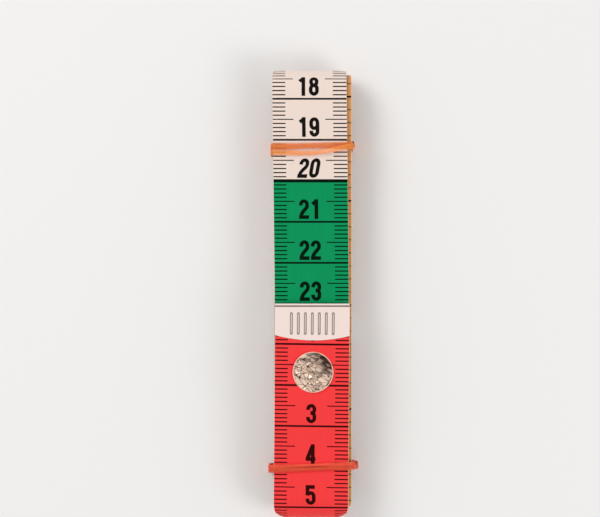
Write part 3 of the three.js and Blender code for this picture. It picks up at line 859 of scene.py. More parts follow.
def rubber(name, seen, pale, band):
    """Rubber, cloudy along the strand, that lets the print show through; less so at a strand's edges. The
    strand that stops less light is paler. Its place is the length along the band, the share across the strand
    and the share of light that a face stops. A weak glow stands for light that spreads inside the rubber."""
    material, tree, shader = new_material(name, linear(seen), roughness=0.4)
    place = carried(tree, BAND_PLACE)
    _, across, stopped = parts_of(tree, place)
    clouds = stretched_noise(tree, place, scale=(0.35, 0.9, 0.9), detail=3)
    swing = abs(band.uneven)
    deeper = math_node(tree, "SUBTRACT", math_node(tree, "DIVIDE", stopped, band.body), 1 - swing)
    depth = math_node(tree, "DIVIDE", deeper, 2 * swing)
    value = ranged(tree, clouds, span=0.3, start=0.85)
    steep = 6.0
    edge = math_node(tree, "POWER", math_node(tree, "ABSOLUTE", across), steep)
    thicker = ranged(tree, edge, span=0.15, start=ranged(tree, clouds, span=0.4, start=0.8))
    feed(tree, shader, {
        "Base Color": toned(tree, mixed(tree, depth, linear(pale), linear(seen)), value),
        "Roughness": ranged(tree, clouds, span=0.25, start=0.3),
        "Alpha": math_node(tree, "MULTIPLY", thicker, stopped),
        "Specular IOR Level": 0.3,
        # Painted glow: emission in the rubber's colour, standing for light that spreads inside it
        "Emission Color": linear(seen),
        "Emission Strength": band.glow,
    })
    return material


# Printed strip


def centimetre_mark(count, marks, width):
    """Breadth of the line and reach from the edge of a millimetre mark, by its count from the zero edge."""
    breadth = np.select(
        [count % 100 == 0, count % 10 == 0, count % 5 == 0],
        [marks.tenth_line, marks.unit_line, marks.half_line],
        marks.tick_line,
    )
    reach = np.select([count % 10 == 0, count % 5 == 0], [width, marks.half_tick], marks.tick)
    return breadth, reach


def inch_mark(count, marks, width):
    """Breadth of the line and reach from the edge of an eighth of an inch, by its count from the far end."""
    kinds = [count % 8 == 0, count % 4 == 0]
    breadth = np.select(kinds, [marks.unit_line, marks.half_line], marks.eighth_line)
    reach = np.select(kinds, [width, marks.half_tick], marks.tick)
    return breadth, reach


def inked(distance, across, step, mark, sizes, marks):
    """True where a face of the strip lies on a mark: near enough to it along, and within its reach across."""
    count = np.rint(distance / step).astype(int)
    breadth, reach = mark(count, marks, sizes.width)
    on_line = np.abs(distance - count * step) < breadth / 2
    from_edge = sizes.width / 2 - np.abs(across - marks.offset)
    return on_line[:, None] & (from_edge[None, :] < reach[:, None])


def strip_rows(line, first, last, marks):
    """Places along the strip where its faces are cut: both sides of a mark, and finely round each bend."""
    sizes = line.sizes
    millimetres = np.arange(0, round(sizes.whole / MILLIMETRE) + 1)
    eighths = np.arange(0, int(sizes.whole / EIGHTH) + 1)
    places = [np.linspace(start, end, FOLD_SAMPLES) for start, end in line.bends]
    for mark, count, middle in (
        (centimetre_mark, millimetres, millimetres * MILLIMETRE),
        (inch_mark, eighths, sizes.whole - eighths * EIGHTH),
    ):
        breadth, _ = mark(count, marks, sizes.width)
        places += [middle - breadth / 2, middle + breadth / 2]
    rows = np.concatenate(places)
    margin = 1e-5
    digits = 6
    rows = rows[(rows > first + margin) & (rows < last - margin)]
    return np.concatenate([[first], np.unique(np.round(rows, digits)), [last]])


def tenth_ground(along):
    """Which ground colour the printed face has at a length from the zero edge: the tenths follow in turn."""
    tenth = np.floor(np.asarray(along) / (100 * MILLIMETRE)).astype(int)
    return np.array(TENTHS)[tenth % len(TENTHS)]


def printed_strip(name, line, first, last, settings):
    """The cloth from one length to another: a thin section with softened edges carried along the line. Each
    face takes the ink where a mark covers it, and the colour of its tenth or of its side elsewhere."""
    sizes, marks = settings.tape, settings.print
    half, deep, edge = sizes.width / 2, sizes.thickness / 2, sizes.edge
    ticks = np.array([half - marks.half_tick, half - marks.tick])
    corner = np.array([half - share * sizes.corner for share in BORDER_CUTS] + [half - edge])
    columns = np.concatenate([-corner[::-1], marks.offset - ticks[::-1], marks.offset + ticks, corner])
    across = np.concatenate([columns, [half], columns[::-1], [-half]])
    level = np.full(len(columns), deep)
    lift = np.concatenate([level, [0], -level, [0]])
    rows = strip_rows(line, first, last, marks)
    points = line.place(rows[:, None], across[None, :], lift[None, :])
    middle = (rows[1:] + rows[:-1]) / 2
    between = (columns[1:] + columns[:-1]) / 2
    ground = tenth_ground(middle)
    front_ink = inked(middle, between, MILLIMETRE, centimetre_mark, sizes, marks)
    back_ink = inked(sizes.whole - middle, between[::-1], EIGHTH, inch_mark, sizes, marks)
    sides = np.full((len(middle), 2), CUT_EDGE)
    front = ground[:, None] + len(GROUNDS) * front_ink
    back = REVERSE + len(GROUNDS) * back_ink
    indexes = np.concatenate([front, sides, back, sides], axis=1).ravel()
    place = np.stack(np.broadcast_arrays(across[None, :], rows[:, None], 0.0), axis=-1) / MILLIMETRE
    return lofted(
        name, points, False, cloth_materials(settings.colours), place=place, place_name=CLOTH_PLACE, sharp=50,
        indexes=np.concatenate([indexes, [CUT_EDGE, CUT_EDGE]]),
    )


# Numbers


def arc(x, y, wide, high, start, end):
    """Points on an ellipse from one angle to another, in degrees."""
    angle = np.radians(np.linspace(start, end, ARC_POINTS))
    return np.stack([x + wide * np.cos(angle), y + high * np.sin(angle)], axis=1)


def curve(*corners):
    """Points on a cubic curve between the first and the last of four corners."""
    share = np.linspace(0, 1, CURVE_POINTS)[:, None]
    first, second, third, fourth = np.array(corners, dtype=float)
    rest = 1 - share
    return rest**3 * first + 3 * rest**2 * share * second + 3 * rest * share**2 * third + share**3 * fourth


def numeral_strokes(numeral, end, side):
    """A narrow upright numeral as the middle lines of its pen strokes. Across, 1 is the middle of an upright
    stroke; up, 0 and 1 are the middles of the foot and the head. End and side are half a pen's breadth."""
    bow = 0.21
    head = arc(0, 1 - bow, 1, bow, 180, 0)
    foot = arc(0, bow, 1, bow, 0, -180)

    def loop(foot_middle, head_middle, wide):
        """A closed stroke of two half ellipses that runs on a little over its own start."""
        return np.concatenate([
            arc(0, head_middle, wide, bow, 0, 180), arc(0, foot_middle, wide, bow, 180, 360),
            arc(0, head_middle, wide, bow, 0, 40),
        ])

    six = [np.concatenate([
        [[1, 0.73]], arc(0, 1 - bow, 1, bow, 0, 180),
        arc(0, bow, 1, bow, 180, 360), arc(0, 0.58 - bow, 1, bow, 0, 180),
    ])]
    strokes = {
        "0": [loop(bow, 1 - bow, 1)],
        "1": [[[0.3, -end], [0.3, 1 + end]], [[-0.95, 0.8], [0.3, 1.0]]],
        "2": [
            np.concatenate([[[-1, 0.72]], head, curve((1, 0.7), (1, 0.5), (-0.95, 0.36), (-0.95, 0))]),
            [[-1 - side, 0], [1 + side, 0]],
        ],
        "3": [
            np.concatenate([[[-1, 0.73]], head, curve((1, 0.74), (1, 0.57), (0.5, 0.54), (-0.2, 0.54))]),
            np.concatenate([curve((-0.2, 0.54), (0.5, 0.54), (1, 0.5), (1, 0.34)), foot, [[-1, 0.28]]]),
        ],
        "4": [
            [[0.6, -end], [0.6, 1 + end]],
            [[0.45, 1.0], [-1.05, 0.24]],
            [[-1.05 - side, 0.19], [0.85 + side, 0.19]],
        ],
        "5": [
            [[-1 - side, 1], [1 + side / 2, 1]],
            [[-1, 1], [-1, 0.48]],
            np.concatenate([curve((-1, 0.5), (-0.6, 0.68), (1, 0.7), (1, 0.4)), foot, [[-1, 0.28]]]),
        ],
        "6": six,
        "7": [[[-1 - side, 1], [1 + side, 1]], curve((1, 1), (0.9, 0.62), (-0.25, 0.4), (-0.3, -end))],
        "8": [loop(0.54 + bow, 1 - bow, 0.9), loop(bow, 0.54 - bow, 1)],
        "9": [np.array([0, 1]) + np.array([-1, -1]) * stroke for stroke in six],
    }
    return [np.array(stroke, dtype=float) for stroke in strokes[numeral]]


def numeral_outline(numeral, marks):
    """A numeral's flat faces: each stroke is walked in even steps, and half a pen is laid to either side.
    Where strokes meet, each lies a trace above the one before, and rises a trace from start to end."""
    tall = marks.numeral - marks.pen
    strokes = numeral_strokes(numeral, marks.pen / 2 / tall, marks.pen / 2 / marks.half_width)
    points, heights, faces, count = [], [], [], 0
    for stroke in strokes:
        path = stroke * [marks.half_width, tall] + [0, marks.pen / 2]
        walked = walk(*path.T)
        steps = np.linspace(0, walked[-1], max(2, int(walked[-1] / STROKE_STEP) + 1))
        path = np.stack([np.interp(steps, walked, path[:, axis]) for axis in (0, 1)], axis=1)
        ahead = np.gradient(path, axis=0)
        ahead /= np.linalg.norm(ahead, axis=1, keepdims=True)
        left = np.stack([-ahead[:, 1], ahead[:, 0]], axis=1) * marks.pen / 2
        points.append(np.stack([path + left, path, path - left]).reshape(-1, 2))
        heights.append(np.tile((len(heights) + steps / walked[-1]) * marks.ink_rise / 2, 3))
        here = np.arange(len(path) - 1)
        for row in (here, here + len(path)):
            right = row + len(path)
            faces.append(count + np.stack([right, right + 1, row + 1, row], axis=1))
        count += 3 * len(path)
    return np.concatenate(points), np.concatenate(heights), np.concatenate(faces)


def number_layout(text, marks):
    """Where each numeral of a number stands, sideways from the print's middle, at an even pitch."""
    pitch = 2 * marks.half_width + marks.pen + marks.spacing
    shift = marks.pair_shift if len(text) > 1 else 0
    return shift + pitch * (np.arange(len(text)) - (len(text) - 1) / 2)


def scale_numbers(line, first, last, marks):
    """Every number whose middle lies between two lengths, as text, its line's place, which face it is on,
    which way its head points and its slant: centimetres from the zero edge, inches on the reverse from the
    far end."""
    whole = line.sizes.whole
    raised = marks.baseline + marks.numeral / 2
    numbers = []
    for count in range(1, round(whole / (10 * MILLIMETRE))):
        numbers.append((str(count), count * 10 * MILLIMETRE, 1, -1, marks.slant if count % 10 == 0 else 0))
    for count in range(1, int(whole / INCH) + 1):
        numbers.append((str(count), whole - count * INCH, -1, 1, 0))
    return [number for number in numbers if first <= number[1] + number[3] * raised < last]


def printed_numbers(name, line, first, last, settings):
    """The numbers on a stretch of the strip, draped on the cloth a hair above it."""
    sizes, marks = settings.tape, settings.print
    outlines = {numeral: numeral_outline(numeral, marks) for numeral in "0123456789"}
    lift = sizes.thickness / 2 + marks.ink_rise
    points, places, faces, indexes, count = [], [], [], [], 0
    for text, place, face, head, slant in scale_numbers(line, first, last, marks):
        ground = tenth_ground(place - marks.baseline) if face > 0 else REVERSE
        for numeral, middle in zip(text, number_layout(text, marks)):
            outline, heights, quads = outlines[numeral]
            breadth = marks.condensed if slant else 1
            leaning = slant * (outline[:, 1] - marks.numeral / 2)
            across = marks.offset + breadth * (middle + outline[:, 0]) + leaning
            along = place + head * (marks.baseline + outline[:, 1])
            points.append(line.place(along, across, face * (lift + heights)))
            places.append(np.stack([across, along, 0 * along], axis=1) / MILLIMETRE)
            faces.append(quads + count)
            indexes.append(np.full(len(quads), ground + len(GROUNDS)))
            count += len(outline)
    return add_object(
        name, np.concatenate(points), np.concatenate(faces).tolist(), cloth_materials(settings.colours),
        indexes=np.concatenate(indexes), place=np.concatenate(places), place_name=CLOTH_PLACE, closed=False,
    )


# Metal


def rounded(corners, reach):
    """A profile whose corners are eased: each is replaced by a quadratic curve that starts and ends a reach
    away from it, or less where the sides are short."""
    corners = np.array(corners, dtype=float)
    share = np.linspace(0, 1, EASE_POINTS)[:, None]
    eased = [corners[:1]]
    for before, corner, after in zip(corners, corners[1:], corners[2:]):
        sides = [np.linalg.norm(before - corner), np.linalg.norm(after - corner)]
        near = min(reach, LONGEST_EASE * min(sides))
        start = corner + (before - corner) * near / sides[0]
        end = corner + (after - corner) * near / sides[1]
        eased.append((1 - share) ** 2 * start + 2 * share * (1 - share) * corner + share**2 * end)
    eased.append(corners[-1:])
    return np.concatenate(eased)


def round_axis(x, y, reach, turn, height):
    """Points by their distance from an upright axis, their angle round it and their height."""
    return np.stack(np.broadcast_arrays(x + reach * np.cos(turn), y + reach * np.sin(turn), height), axis=-1)


def turned(profile, x, y, sides=TURNED_SIDES):
    """A profile of radius and height carried once round an upright axis."""
    turn = np.linspace(0, 2 * math.pi, sides, endpoint=False)[:, None]
    return round_axis(x, y, profile[None, :, 0], turn, profile[None, :, 1])


def turned_piece(name, corners, x, y, settings):
    """A piece of polished nickel turned from a profile with eased corners. A profile that ends where it
    starts makes a ring."""
    profile = rounded(corners, settings.metal.rounding)
    if corners[0] == corners[-1]:
        profile = profile[:-1]
    nickel = handled("bright_nickel", settings.colours.nickel, low=0.12, high=0.34, metallic=1.0, dirt=0.25)
    return lofted(name, turned(profile, x, y), True, [nickel])


def crimped_ribs(across, inward, metal, half):
    """The ribs that are crimped across the middle of a ferrule's leaf, from 0 to 1: the rounded half of a
    wave, faded out towards the sides and the ends of the leaf."""
    ripple = np.maximum(np.cos(2 * math.pi * across / metal.rib_pitch), 0) ** 2
    ending = metal.rib_pitch / 3
    sideways = smooth((half * RIBBED_WIDTH - np.abs(across)) / ending)
    started = smooth((inward - metal.ferrule_length * RIBBED_START) / ending)
    ended = smooth((metal.ferrule_length * RIBBED_END - inward) / ending)
    return ripple * sideways * started * ended


def ferrule_section(metal, slot):
    """Half of the folded sheet's section, its outside and its inside. Each corner has the share of the leaf's
    run that it takes part in, its distance from the folded end and its height over the tape's middle."""
    leaf = slot + metal.wall
    bead = leaf + metal.bead
    ease = metal.wall / 4
    outside = [(1, FOLD_REACH, leaf - ease), (1, FOLD_REACH - ease, leaf)]
    outside += [(share, FOLD_REACH, leaf) for share in np.linspace(1, 0, LEAF_ROWS)[1:]]
    outside += [(0, distance, leaf - share * metal.groove) for distance, share in GROOVE_SECTION]
    outside += [(0, BEAD_FOOT, bead - metal.bead / 4)]
    outside += [(0, distance, share * bead) for distance, share in BEAD_SECTION]
    inside = [(0, metal.wall, slot * HOLLOW_END), (0, metal.wall + slot, slot), (1, FOLD_REACH, slot)]
    return np.array(outside), np.array(inside)


def ferrule(name, line, zero_end, settings, lacquer):
    """Sheet metal folded over the tape's end: a hairpin section with a raised bead and a groove along the
    fold, carried across the tape; its leaves end in a bow, length - bow (x / half)^2. Grime gathers in the
    groove and on the flanks of the ribs."""
    sizes, metal = settings.tape, settings.metal
    slot = sizes.thickness / 2 + metal.seat
    leaf = slot + metal.wall
    outside, inside = ferrule_section(metal, slot)
    turned_over = np.array([1, 1, -1])
    section = np.concatenate([outside, outside[::-1] * turned_over, inside[::-1] * turned_over, inside])
    share, distance, height = section.T[:, None, :]
    half = sizes.width / 2 + metal.ferrule_overhang
    across = np.linspace(-half, half, LEAF_COLUMNS)[:, None]
    reach = metal.ferrule_length - metal.ferrule_bow * (across / half) ** 2
    inward = distance + share * (reach - FOLD_REACH)
    on_leaf = np.repeat([1, 0], [2 * len(outside), 2 * len(inside)])
    ribs = on_leaf * crimped_ribs(across, inward, metal, half)
    # Painted shade with some grime, in the groove beside the fold and on the flanks of the ribs
    past_end = inward > (leaf + metal.bead) / 2
    in_groove = on_leaf * np.clip((leaf - np.abs(height)) / metal.groove, 0, 1) * past_end
    creases = np.maximum(in_groove, 4 * ribs * (1 - ribs))
    along = inward if zero_end else sizes.whole - inward
    points = line.place(along, across, height + np.sign(height) * metal.rib * ribs)
    place = crease_place(creases)
    return lofted(name, points, False, [lacquer], place=place, place_name=STRUCK_PLACE, sharp=35)


def crease_place(share):
    """The share of tarnish at each point, as a vector that the material reads."""
    return np.stack([share, 0 * share, 0 * share], axis=-1).reshape(-1, 3)


def struck_face(x, y, rim, metal):
    """The cap's struck face as small flat facets, each with its own slope, stretched along a slanted line. A
    point belongs to the facet whose middle is nearest; gives its height there and its share of tarnish, which
    is full along the facet's border, differs from facet to facet and grows towards the upper right."""
    chance = np.random.default_rng(FACET_SEED)
    middles = chance.uniform(-rim, rim, (metal.facets, 2))
    slopes = chance.uniform(-metal.facet_slope, metal.facet_slope, (metal.facets, 2))
    tones = metal.facet_tone * chance.uniform(0, 1, metal.facets) ** 2
    slant = metal.facet_slant
    lengthwise = (x * math.cos(slant) + y * math.sin(slant)) / metal.facet_stretch
    sideways = y * math.cos(slant) - x * math.sin(slant)
    away = np.stack([lengthwise, sideways], axis=-1)[..., None, :] - middles
    distance = np.linalg.norm(away, axis=-1)
    nearest = distance.argmin(axis=-1)
    first, second = np.moveaxis(np.sort(distance, axis=-1)[..., :2], -1, 0)
    offset = np.take_along_axis(away, nearest[..., None, None], axis=-2)[..., 0, :]
    border = 1 - smooth((second - first) / metal.crease)
    # Painted shade: the darkening grows towards the upper right, standing for a darker reflection in the
    # domed cap
    towards = (x + y) / (math.sqrt(2) * rim)
    tone = tones[nearest] * np.clip(1 + towards, 0, None) + metal.worn_side * np.clip(towards, 0, None) ** 2
    return (offset * slopes[nearest]).sum(axis=-1), np.clip(np.maximum(border, tone), 0, 1)


def stud_places():
    """Axis of the press stud and the heights of its pieces, from the packed model."""
    low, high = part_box("snap_cap")
    heights = {"cloth_top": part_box("tape_flap_snap")[1].z}
    for name in ("cap", "socket", "spring", "stud", "post"):
        heights[name] = [corner.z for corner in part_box(f"snap_{name}")]
    return (low.x + high.x) / 2, (low.y + high.y) / 2, heights


def half_breadth(node):
    """Radius of a round node, from its box."""
    low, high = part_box(node)
    return (high.x - low.x) / 2


def stud_cap(x, y, heights, settings):
    """The cap: a low dome with a rolled rim and a struck face, and the shank and lip that hold the socket."""
    metal = settings.metal
    rim = half_breadth("snap_cap")
    under = heights["cloth_top"] + metal.seat
    bottom, top = heights["cap"]
    lip_top = bottom + LIP_HEIGHT
    share = np.linspace(1, 0, CROWN_RINGS)
    crown = np.stack([(rim - CROWN_INSET) * share, top - (top - under) * DOME * share**2], axis=1)
    below = rounded([
        (0, bottom), (LIP, bottom), (LIP, lip_top), (SHANK, lip_top), (SHANK, under),
        (rim - ROLL, under), (rim, under + ROLL), (rim - ROLL / 4, under + 2 * ROLL), crown[0],
    ], metal.rounding)
    profile = np.concatenate([below[:-1], crown])
    points = turned(profile, x, y, 2 * TURNED_SIDES)
    on_face = np.concatenate([np.zeros(len(below) - 1), smooth((1 - share) / CROWN_BORDER)])
    relief, tarnished = struck_face(points[..., 0] - x, points[..., 1] - y, rim, metal)
    points[..., 2] += on_face * np.minimum(relief - metal.rounding, 0)
    nickel = struck_nickel(settings.colours)
    place = crease_place(tarnished * on_face)
    return lofted("stud_cap", points, True, [nickel], place=place, place_name=STRUCK_PLACE, sharp=20)


def stud_socket(x, y, heights, settings):
    """The socket: a turned cup with a flange under the cloth, a mouth for the stud and a groove for the
    spring."""
    flange = half_breadth("snap_socket")
    bottom, top = heights["socket"]
    spring_low, spring_high = heights["spring"]
    seam = (MOUTH, (bottom + spring_low) / 2)
    low, high = spring_low - SPRING_PLAY, spring_high + SPRING_PLAY
    return turned_piece("stud_socket", [
        seam, (MOUTH, bottom), (BARREL, bottom), (BARREL, top - PLATE), (flange, top - PLATE), (flange, top),
        (HOLE, top), (HOLE, top - PLATE), (MOUTH, top - PLATE), (MOUTH, high), (SPRING_GROOVE, high),
        (SPRING_GROOVE, low), (MOUTH, low), seam,
    ], x, y, settings)


def stud_spring(x, y, heights, settings):
    """The ring spring: a round wire bent into an open ring."""
    low, high = heights["spring"]
    wire = (high - low) / 2
    radius = half_breadth("snap_spring") - wire
    split = settings.metal.spring_split
    turn = np.linspace(split / 2, 2 * math.pi - split / 2, TURNED_SIDES)[:, None]
    angle = np.linspace(0, 2 * math.pi, WIRE_SIDES, endpoint=False)[None, :]
    points = round_axis(x, y, radius + wire * np.cos(angle), turn, (low + high) / 2 + wire * np.sin(angle))
    steel = handled("spring_steel", settings.colours.steel, low=0.25, high=0.4, metallic=1.0, dirt=0.2)
    return lofted("stud_spring", points, False, [steel])


def stud_head(x, y, heights, settings):
    """The stud: a flange on the cloth, a neck and a mushroom head that snaps behind the spring."""
    flange = half_breadth("snap_stud")
    bottom, top = heights["stud"]
    spring_middle = sum(heights["spring"]) / 2
    deep, thick = bottom + 3 * PLATE, bottom + PLATE
    return turned_piece("stud_head", [
        (0, deep), (BORE, deep), (BORE, bottom), (flange, bottom), (flange, thick), (NECK, thick),
        (NECK, spring_middle), (HEAD, spring_middle + PLATE),
        *((HEAD * share, top - below) for share, below in HEAD_CORNERS), (0, top),
    ], x, y, settings)


def stud_post(x, y, heights, settings):
    """The post: a flat foot behind the cloth with a pin pressed up into the stud."""
    foot = half_breadth("snap_post")
    bottom, top = heights["post"]
    thick = bottom + PLATE
    corners = [(0, bottom), (foot, bottom), (foot, thick), (PIN, thick), (PIN, top), (0, top)]
    return turned_piece("stud_post", corners, x, y, settings)


# Rubber bands


def band_route(half_width, low, top, corner):
    """Once round the coil from the middle of the underside: a rectangle with quarter-round corners, walked in
    even steps, as x, z, the angle of the outward normal, the length so far and the whole length."""
    quarter = np.linspace(0, math.pi / 2, CORNER_SAMPLES)
    flat = half_width - corner
    middles = ((flat, low + corner), (flat, top - corner), (-flat, top - corner), (-flat, low + corner))
    route = [([0], [low], [-math.pi / 2])]
    for index, (x, z) in enumerate(middles):
        angle = quarter + (index - 1) * math.pi / 2
        route.append((x + corner * np.cos(angle), z + corner * np.sin(angle), angle))
    route.append(([0], [low], [1.5 * math.pi]))
    x, z, normal = (np.concatenate(values) for values in zip(*route))
    walked = walk(x, z)
    steps = np.linspace(0, walked[-1], BAND_SAMPLES, endpoint=False)
    return [np.interp(steps, walked, values) for values in (x, z, normal)] + [steps, walked[-1]]


def rubber_band(name, node, face, band, material):
    """A band wound twice: a soft flat section carried twice round the coil. The two strands lie side by side
    and change sides once, where the first passes over the second; one is a little broader than the other."""
    low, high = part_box(node)
    x, z, normal, along, around = band_route(band.inner, low.z + band.thickness, face + BAND_AIR, BAND_CORNER)
    past = (along + band.crossing) % around - around / 2
    swap = np.sin(math.pi / 2 * np.clip(past / band.reach, -1, 1))
    rise = 1 - smooth((np.abs(swap) - CLIMB_START) / (1 - CLIMB_START))
    front = smooth(np.sin(normal))
    outwards = np.abs(x / band.inner) ** BOW_POWER
    narrow = 1 - band.taper * front * (1 - outwards)
    apart = band.spread * (1 - band.gather * (1 - narrow))
    middle = (low.y + high.y) / 2 + band.slope * x + band.sag * front * (outwards - SAG_LEVEL)
    deep = band.thickness / 2 * (1 - (1 - band.side) * np.cos(normal) ** SIDE_POWER)
    angle = np.linspace(0, 2 * math.pi, STRAND_SIDES, endpoint=False)
    blunt = BLUNT + (1 - BLUNT) * np.cos(normal)[:, None] ** 2
    across, out = (np.sign(part) * np.abs(part) ** blunt for part in (np.cos(angle), np.sin(angle)))
    body = band.side_body + (band.body - band.side_body) * front
    rounds, places = [], []
    for order, side in enumerate((1, -1)):
        lengthwise = along + order * around
        wander = band.strand / WANDER_PART * np.sin(2 * math.pi * lengthwise / around * WANDERS)
        uneven = 1 - band.uneven * np.sin(math.pi * lengthwise / around)
        breadth = band.strand * uneven * narrow
        over = rise * (2 * deep + BAND_AIR) if side > 0 else 0 * rise
        lift = (deep + over)[:, None] + deep[:, None] * out
        y = middle + wander - side * apart * swap
        rounds.append(np.stack([
            x[:, None] + lift * np.cos(normal)[:, None],
            y[:, None] + breadth[:, None] / 2 * across,
            z[:, None] + lift * np.sin(normal)[:, None],
        ], axis=-1))
        stopped = (body * uneven)[:, None] * smooth(out + FLANK)
        placed = np.broadcast_arrays(lengthwise[:, None] / MILLIMETRE, across, stopped)
        places.append(np.stack(placed, axis=-1))
    points = np.concatenate(rounds)
    place = np.concatenate(places)
    return lofted(name, points, True, [material], place=place, place_name=BAND_PLACE, sharp=60)


# Operators


def settings_of(context):
    """The tape measure's settings in the scene."""
    return context.scene.tape_measure


def settle(piece, body, node):
    """Lets a piece ride on a body, stand for a node and take a material slot."""
    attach(piece, body)
    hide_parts(node)


def free_end_spans(line):
    """The free end's stretches from the coil outwards: name, the lengths that it covers, the bodies that it
    bends between, and where its bend starts and ends."""
    creases = [line.creases[name] for name in ("free_end_lift", "crease_b", "crease_c", "crease_snap")]
    middles = [(first + second) / 2 for first, second in zip(creases, creases[1:])]
    _, stud_y, _ = stud_places()
    places = [line.root - (ROOT_MARGIN, 0), *middles, np.array([stud_y, line.plate[1]])]
    cuts = [line.free_along(place[0]) for place in places] + [0.0]
    starts = places[:-1] + [line.tip - (BEND_IN, 0)]
    ends = middles + [line.plate, line.tip + (BEND_OUT, 0)]
    return list(zip(STRETCHES, cuts[1:], cuts, FREE_BODIES, FREE_BODIES[1:], starts, ends))


class TAPE_OT_wind(bpy.types.Operator):
    """Wind the cloth into its coil, with both printed scales."""

    bl_idname = "tape_measure.wind"
    bl_label = "Wind Tape"

    def execute(self, context):
        settings = settings_of(context)
        line = TapeLine(settings.tape)
        _, _, start, *_ = free_end_spans(line)[0]
        wound = printed_strip("tape_wound", line, start, settings.tape.whole, settings)
        numbers = printed_numbers("numbers_wound", line, start, settings.tape.whole, settings)
        for piece in (wound, numbers):
            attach(piece, "coil")
        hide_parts("tape_coil")
        return {"FINISHED"}


class TAPE_OT_free_end(bpy.types.Operator):
    """Lay the free end over the front of the coil in stretches that bend with its creases."""

    bl_idname = "tape_measure.free_end"
    bl_label = "Lay Free End"

    def execute(self, context):
        settings = settings_of(context)
        line = TapeLine(settings.tape)
        laid = []
        for name, first, last, inner, outer, start, end in free_end_spans(line):
            strip = printed_strip(f"tape_free_{name}", line, first, last, settings)
            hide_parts(f"tape_{outer}")
            pieces = [strip]
            if scale_numbers(line, first, last, settings.print):
                pieces.append(printed_numbers(f"numbers_free_{name}", line, first, last, settings))
            for piece in pieces:
                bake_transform(piece)
            laid += pieces
        laid.append(bpy.data.objects["numbers_wound"])
        return {"FINISHED"}


class TAPE_OT_ferrules(bpy.types.Operator):
    """Fold a ferrule over each end of the tape."""

    bl_idname = "tape_measure.ferrules"
    bl_label = "Fold Ferrules"

    def execute(self, context):
        settings = settings_of(context)
        line = TapeLine(settings.tape)
        lacquer = white_lacquer(settings.colours)
        for name, zero_end, node, body in (
            ("ferrule_zero_end", True, "start_ferrule", "flap_tip"),
            ("ferrule_far_end", False, "far_ferrule", "coil"),
        ):
            settle(ferrule(name, line, zero_end, settings, lacquer), body, node)
        return {"FINISHED"}


class TAPE_OT_press_stud(bpy.types.Operator):
    """Turn the press stud: cap, socket and ring spring on the free end, stud and post on the next turn."""

    bl_idname = "tape_measure.press_stud"
    bl_label = "Turn Press Stud"

    def execute(self, context):
        settings = settings_of(context)
        x, y, heights = stud_places()
        for make, node, body, slot in (
            (stud_cap, "snap_cap", "flap_snap", "snap_metal"),
            (stud_socket, "snap_socket", "flap_snap", "snap_metal"),
            (stud_spring, "snap_spring", "flap_snap", "spring_steel"),
            (stud_head, "snap_stud", "coil", "snap_metal"),
            (stud_post, "snap_post", "coil", "snap_metal"),
        ):
            settle(make(x, y, heights, settings), body, node)
        return {"FINISHED"}


class TAPE_OT_bands(bpy.types.Operator):
    """Stretch the two rubber bands round the coil."""

    bl_idname = "tape_measure.bands"
    bl_label = "Stretch Bands"

    def execute(self, context):
        settings = settings_of(context)
        line = TapeLine(settings.tape)
        outer_face = line.front[0] + settings.tape.thickness / 2
        for name, look, face in (
            ("upper", "amber_rubber", line.front_face),
            ("lower", "brown_rubber", outer_face),
        ):
            band = getattr(settings, f"{name}_band")
            seen = getattr(settings.colours, f"{name}_rubber")
            pale = getattr(settings.colours, f"{name}_pale")
            node = f"rubber_band_{name}"
            piece = rubber_band(f"band_{name}", node, face, band, rubber(look, seen, pale, band))
            settle(piece, f"{name}_band", node)
        return {"FINISHED"}


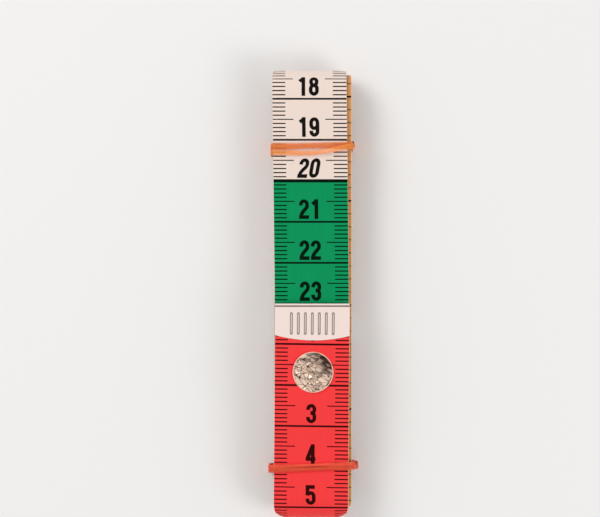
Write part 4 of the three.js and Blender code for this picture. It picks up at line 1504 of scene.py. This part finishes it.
class TAPE_OT_stage(bpy.types.Operator):
    """Set the floor, the light and the camera straight above."""

    bl_idname = "tape_measure.stage"
    bl_label = "Set Stage"

    def execute(self, context):
        settings = settings_of(context)
        stage = settings.stage
        scene = context.scene
        scene.view_settings.view_transform = "Standard"
        self.lay_floor(stage, settings.colours)
        self.light(scene, stage)
        self.place_camera(scene, stage)
        return {"FINISHED"}

    def lay_floor(self, stage, colours):
        """A pale square floor under the coil, which doesn't hide it from below."""
        half = stage.floor_size / 2
        corners = np.array([[-half, -half, 0], [half, -half, 0], [half, half, 0], [-half, half, 0]])
        material, tree, shader = new_material("pale_floor", linear(colours.floor), roughness=0.9)
        backfacing = add_node(tree, "ShaderNodeNewGeometry").outputs["Backfacing"]
        feed(tree, shader, {"Specular IOR Level": 0.1, "Alpha": math_node(tree, "SUBTRACT", 1.0, backfacing)})
        add_object("floor", corners, [[0, 1, 2, 3]], [material], closed=False)

    def light(self, scene, stage):
        """A sky that is brighter at the horizon than overhead, and two soft lamps on opposite sides."""
        world = bpy.data.worlds.new("studio")
        world.use_nodes = True
        scene.world = world
        tree = world.node_tree
        _, _, upwards = parts_of(tree, add_node(tree, "ShaderNodeTexCoord").outputs["Generated"])
        height = math_node(tree, "MAXIMUM", upwards, 0.0)
        strength = ranged(tree, height, stage.sky - stage.horizon, stage.horizon)
        feed(tree, tree.nodes["Background"], {"Strength": strength, "Color": (1, 1, 1, 1)})
        self.hang_lamp(scene, "key_lamp", stage.key, KEY_PLACE)
        self.hang_lamp(scene, "fill_lamp", stage.fill, FILL_PLACE)

    def hang_lamp(self, scene, name, power, place):
        """A large soft square lamp that faces the coil."""
        lamp = bpy.data.lights.new(name, "AREA")
        lamp.size = LAMP_SIZE
        lamp.energy = power
        holder = bpy.data.objects.new(name, lamp)
        holder.location = place
        holder.rotation_euler = (-Vector(place)).to_track_quat("-Z", "Y").to_euler()
        scene.collection.objects.link(holder)

    def place_camera(self, scene, stage):
        """A camera that looks straight down, far enough away to show no slant."""
        data = bpy.data.cameras.new("camera")
        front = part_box("snap_stud")[0].z
        data.lens = data.sensor_width * (stage.camera_height - front) / stage.view_width
        camera = bpy.data.objects.new("camera", data)
        camera.location = (stage.view_x, stage.view_y, stage.camera_height)
        scene.collection.objects.link(camera)
        scene.camera = camera


OPERATORS = (
    TAPE_OT_wind, TAPE_OT_free_end, TAPE_OT_ferrules, TAPE_OT_press_stud, TAPE_OT_bands, TAPE_OT_stage,
)


class TAPE_PT_panel(bpy.types.Panel):
    """The tape measure's steps in the sidebar."""

    bl_idname = "TAPE_PT_panel"
    bl_label = "Tape Measure"
    bl_space_type = "VIEW_3D"
    bl_region_type = "UI"
    bl_category = "Tape Measure"

    def draw(self, context):
        for operator in OPERATORS:
            self.layout.operator(operator.bl_idname)


CLASSES = (
    TapeSizes, PrintSizes, MetalSizes, UpperBandSizes, LowerBandSizes, Colours, StageSizes, TapeMeasure,
    *OPERATORS, TAPE_PT_panel,
)


def register():
    """Makes the settings, the operators and the panel known."""
    for item in CLASSES:
        bpy.utils.register_class(item)
    bpy.types.Scene.tape_measure = group_of(TapeMeasure)


def unregister():
    """Takes them away again."""
    del bpy.types.Scene.tape_measure
    for item in reversed(CLASSES):
        bpy.utils.unregister_class(item)


def main():
    """Builds the tape measure and its stage, and writes the box before and after."""
    register()
    bpy.ops.tape_measure.stage()
    bpy.ops.tape_measure.wind()
    bpy.ops.tape_measure.free_end()
    bpy.ops.tape_measure.ferrules()
    bpy.ops.tape_measure.press_stud()
    bpy.ops.tape_measure.bands()


if __name__ == "__main__":
    main()
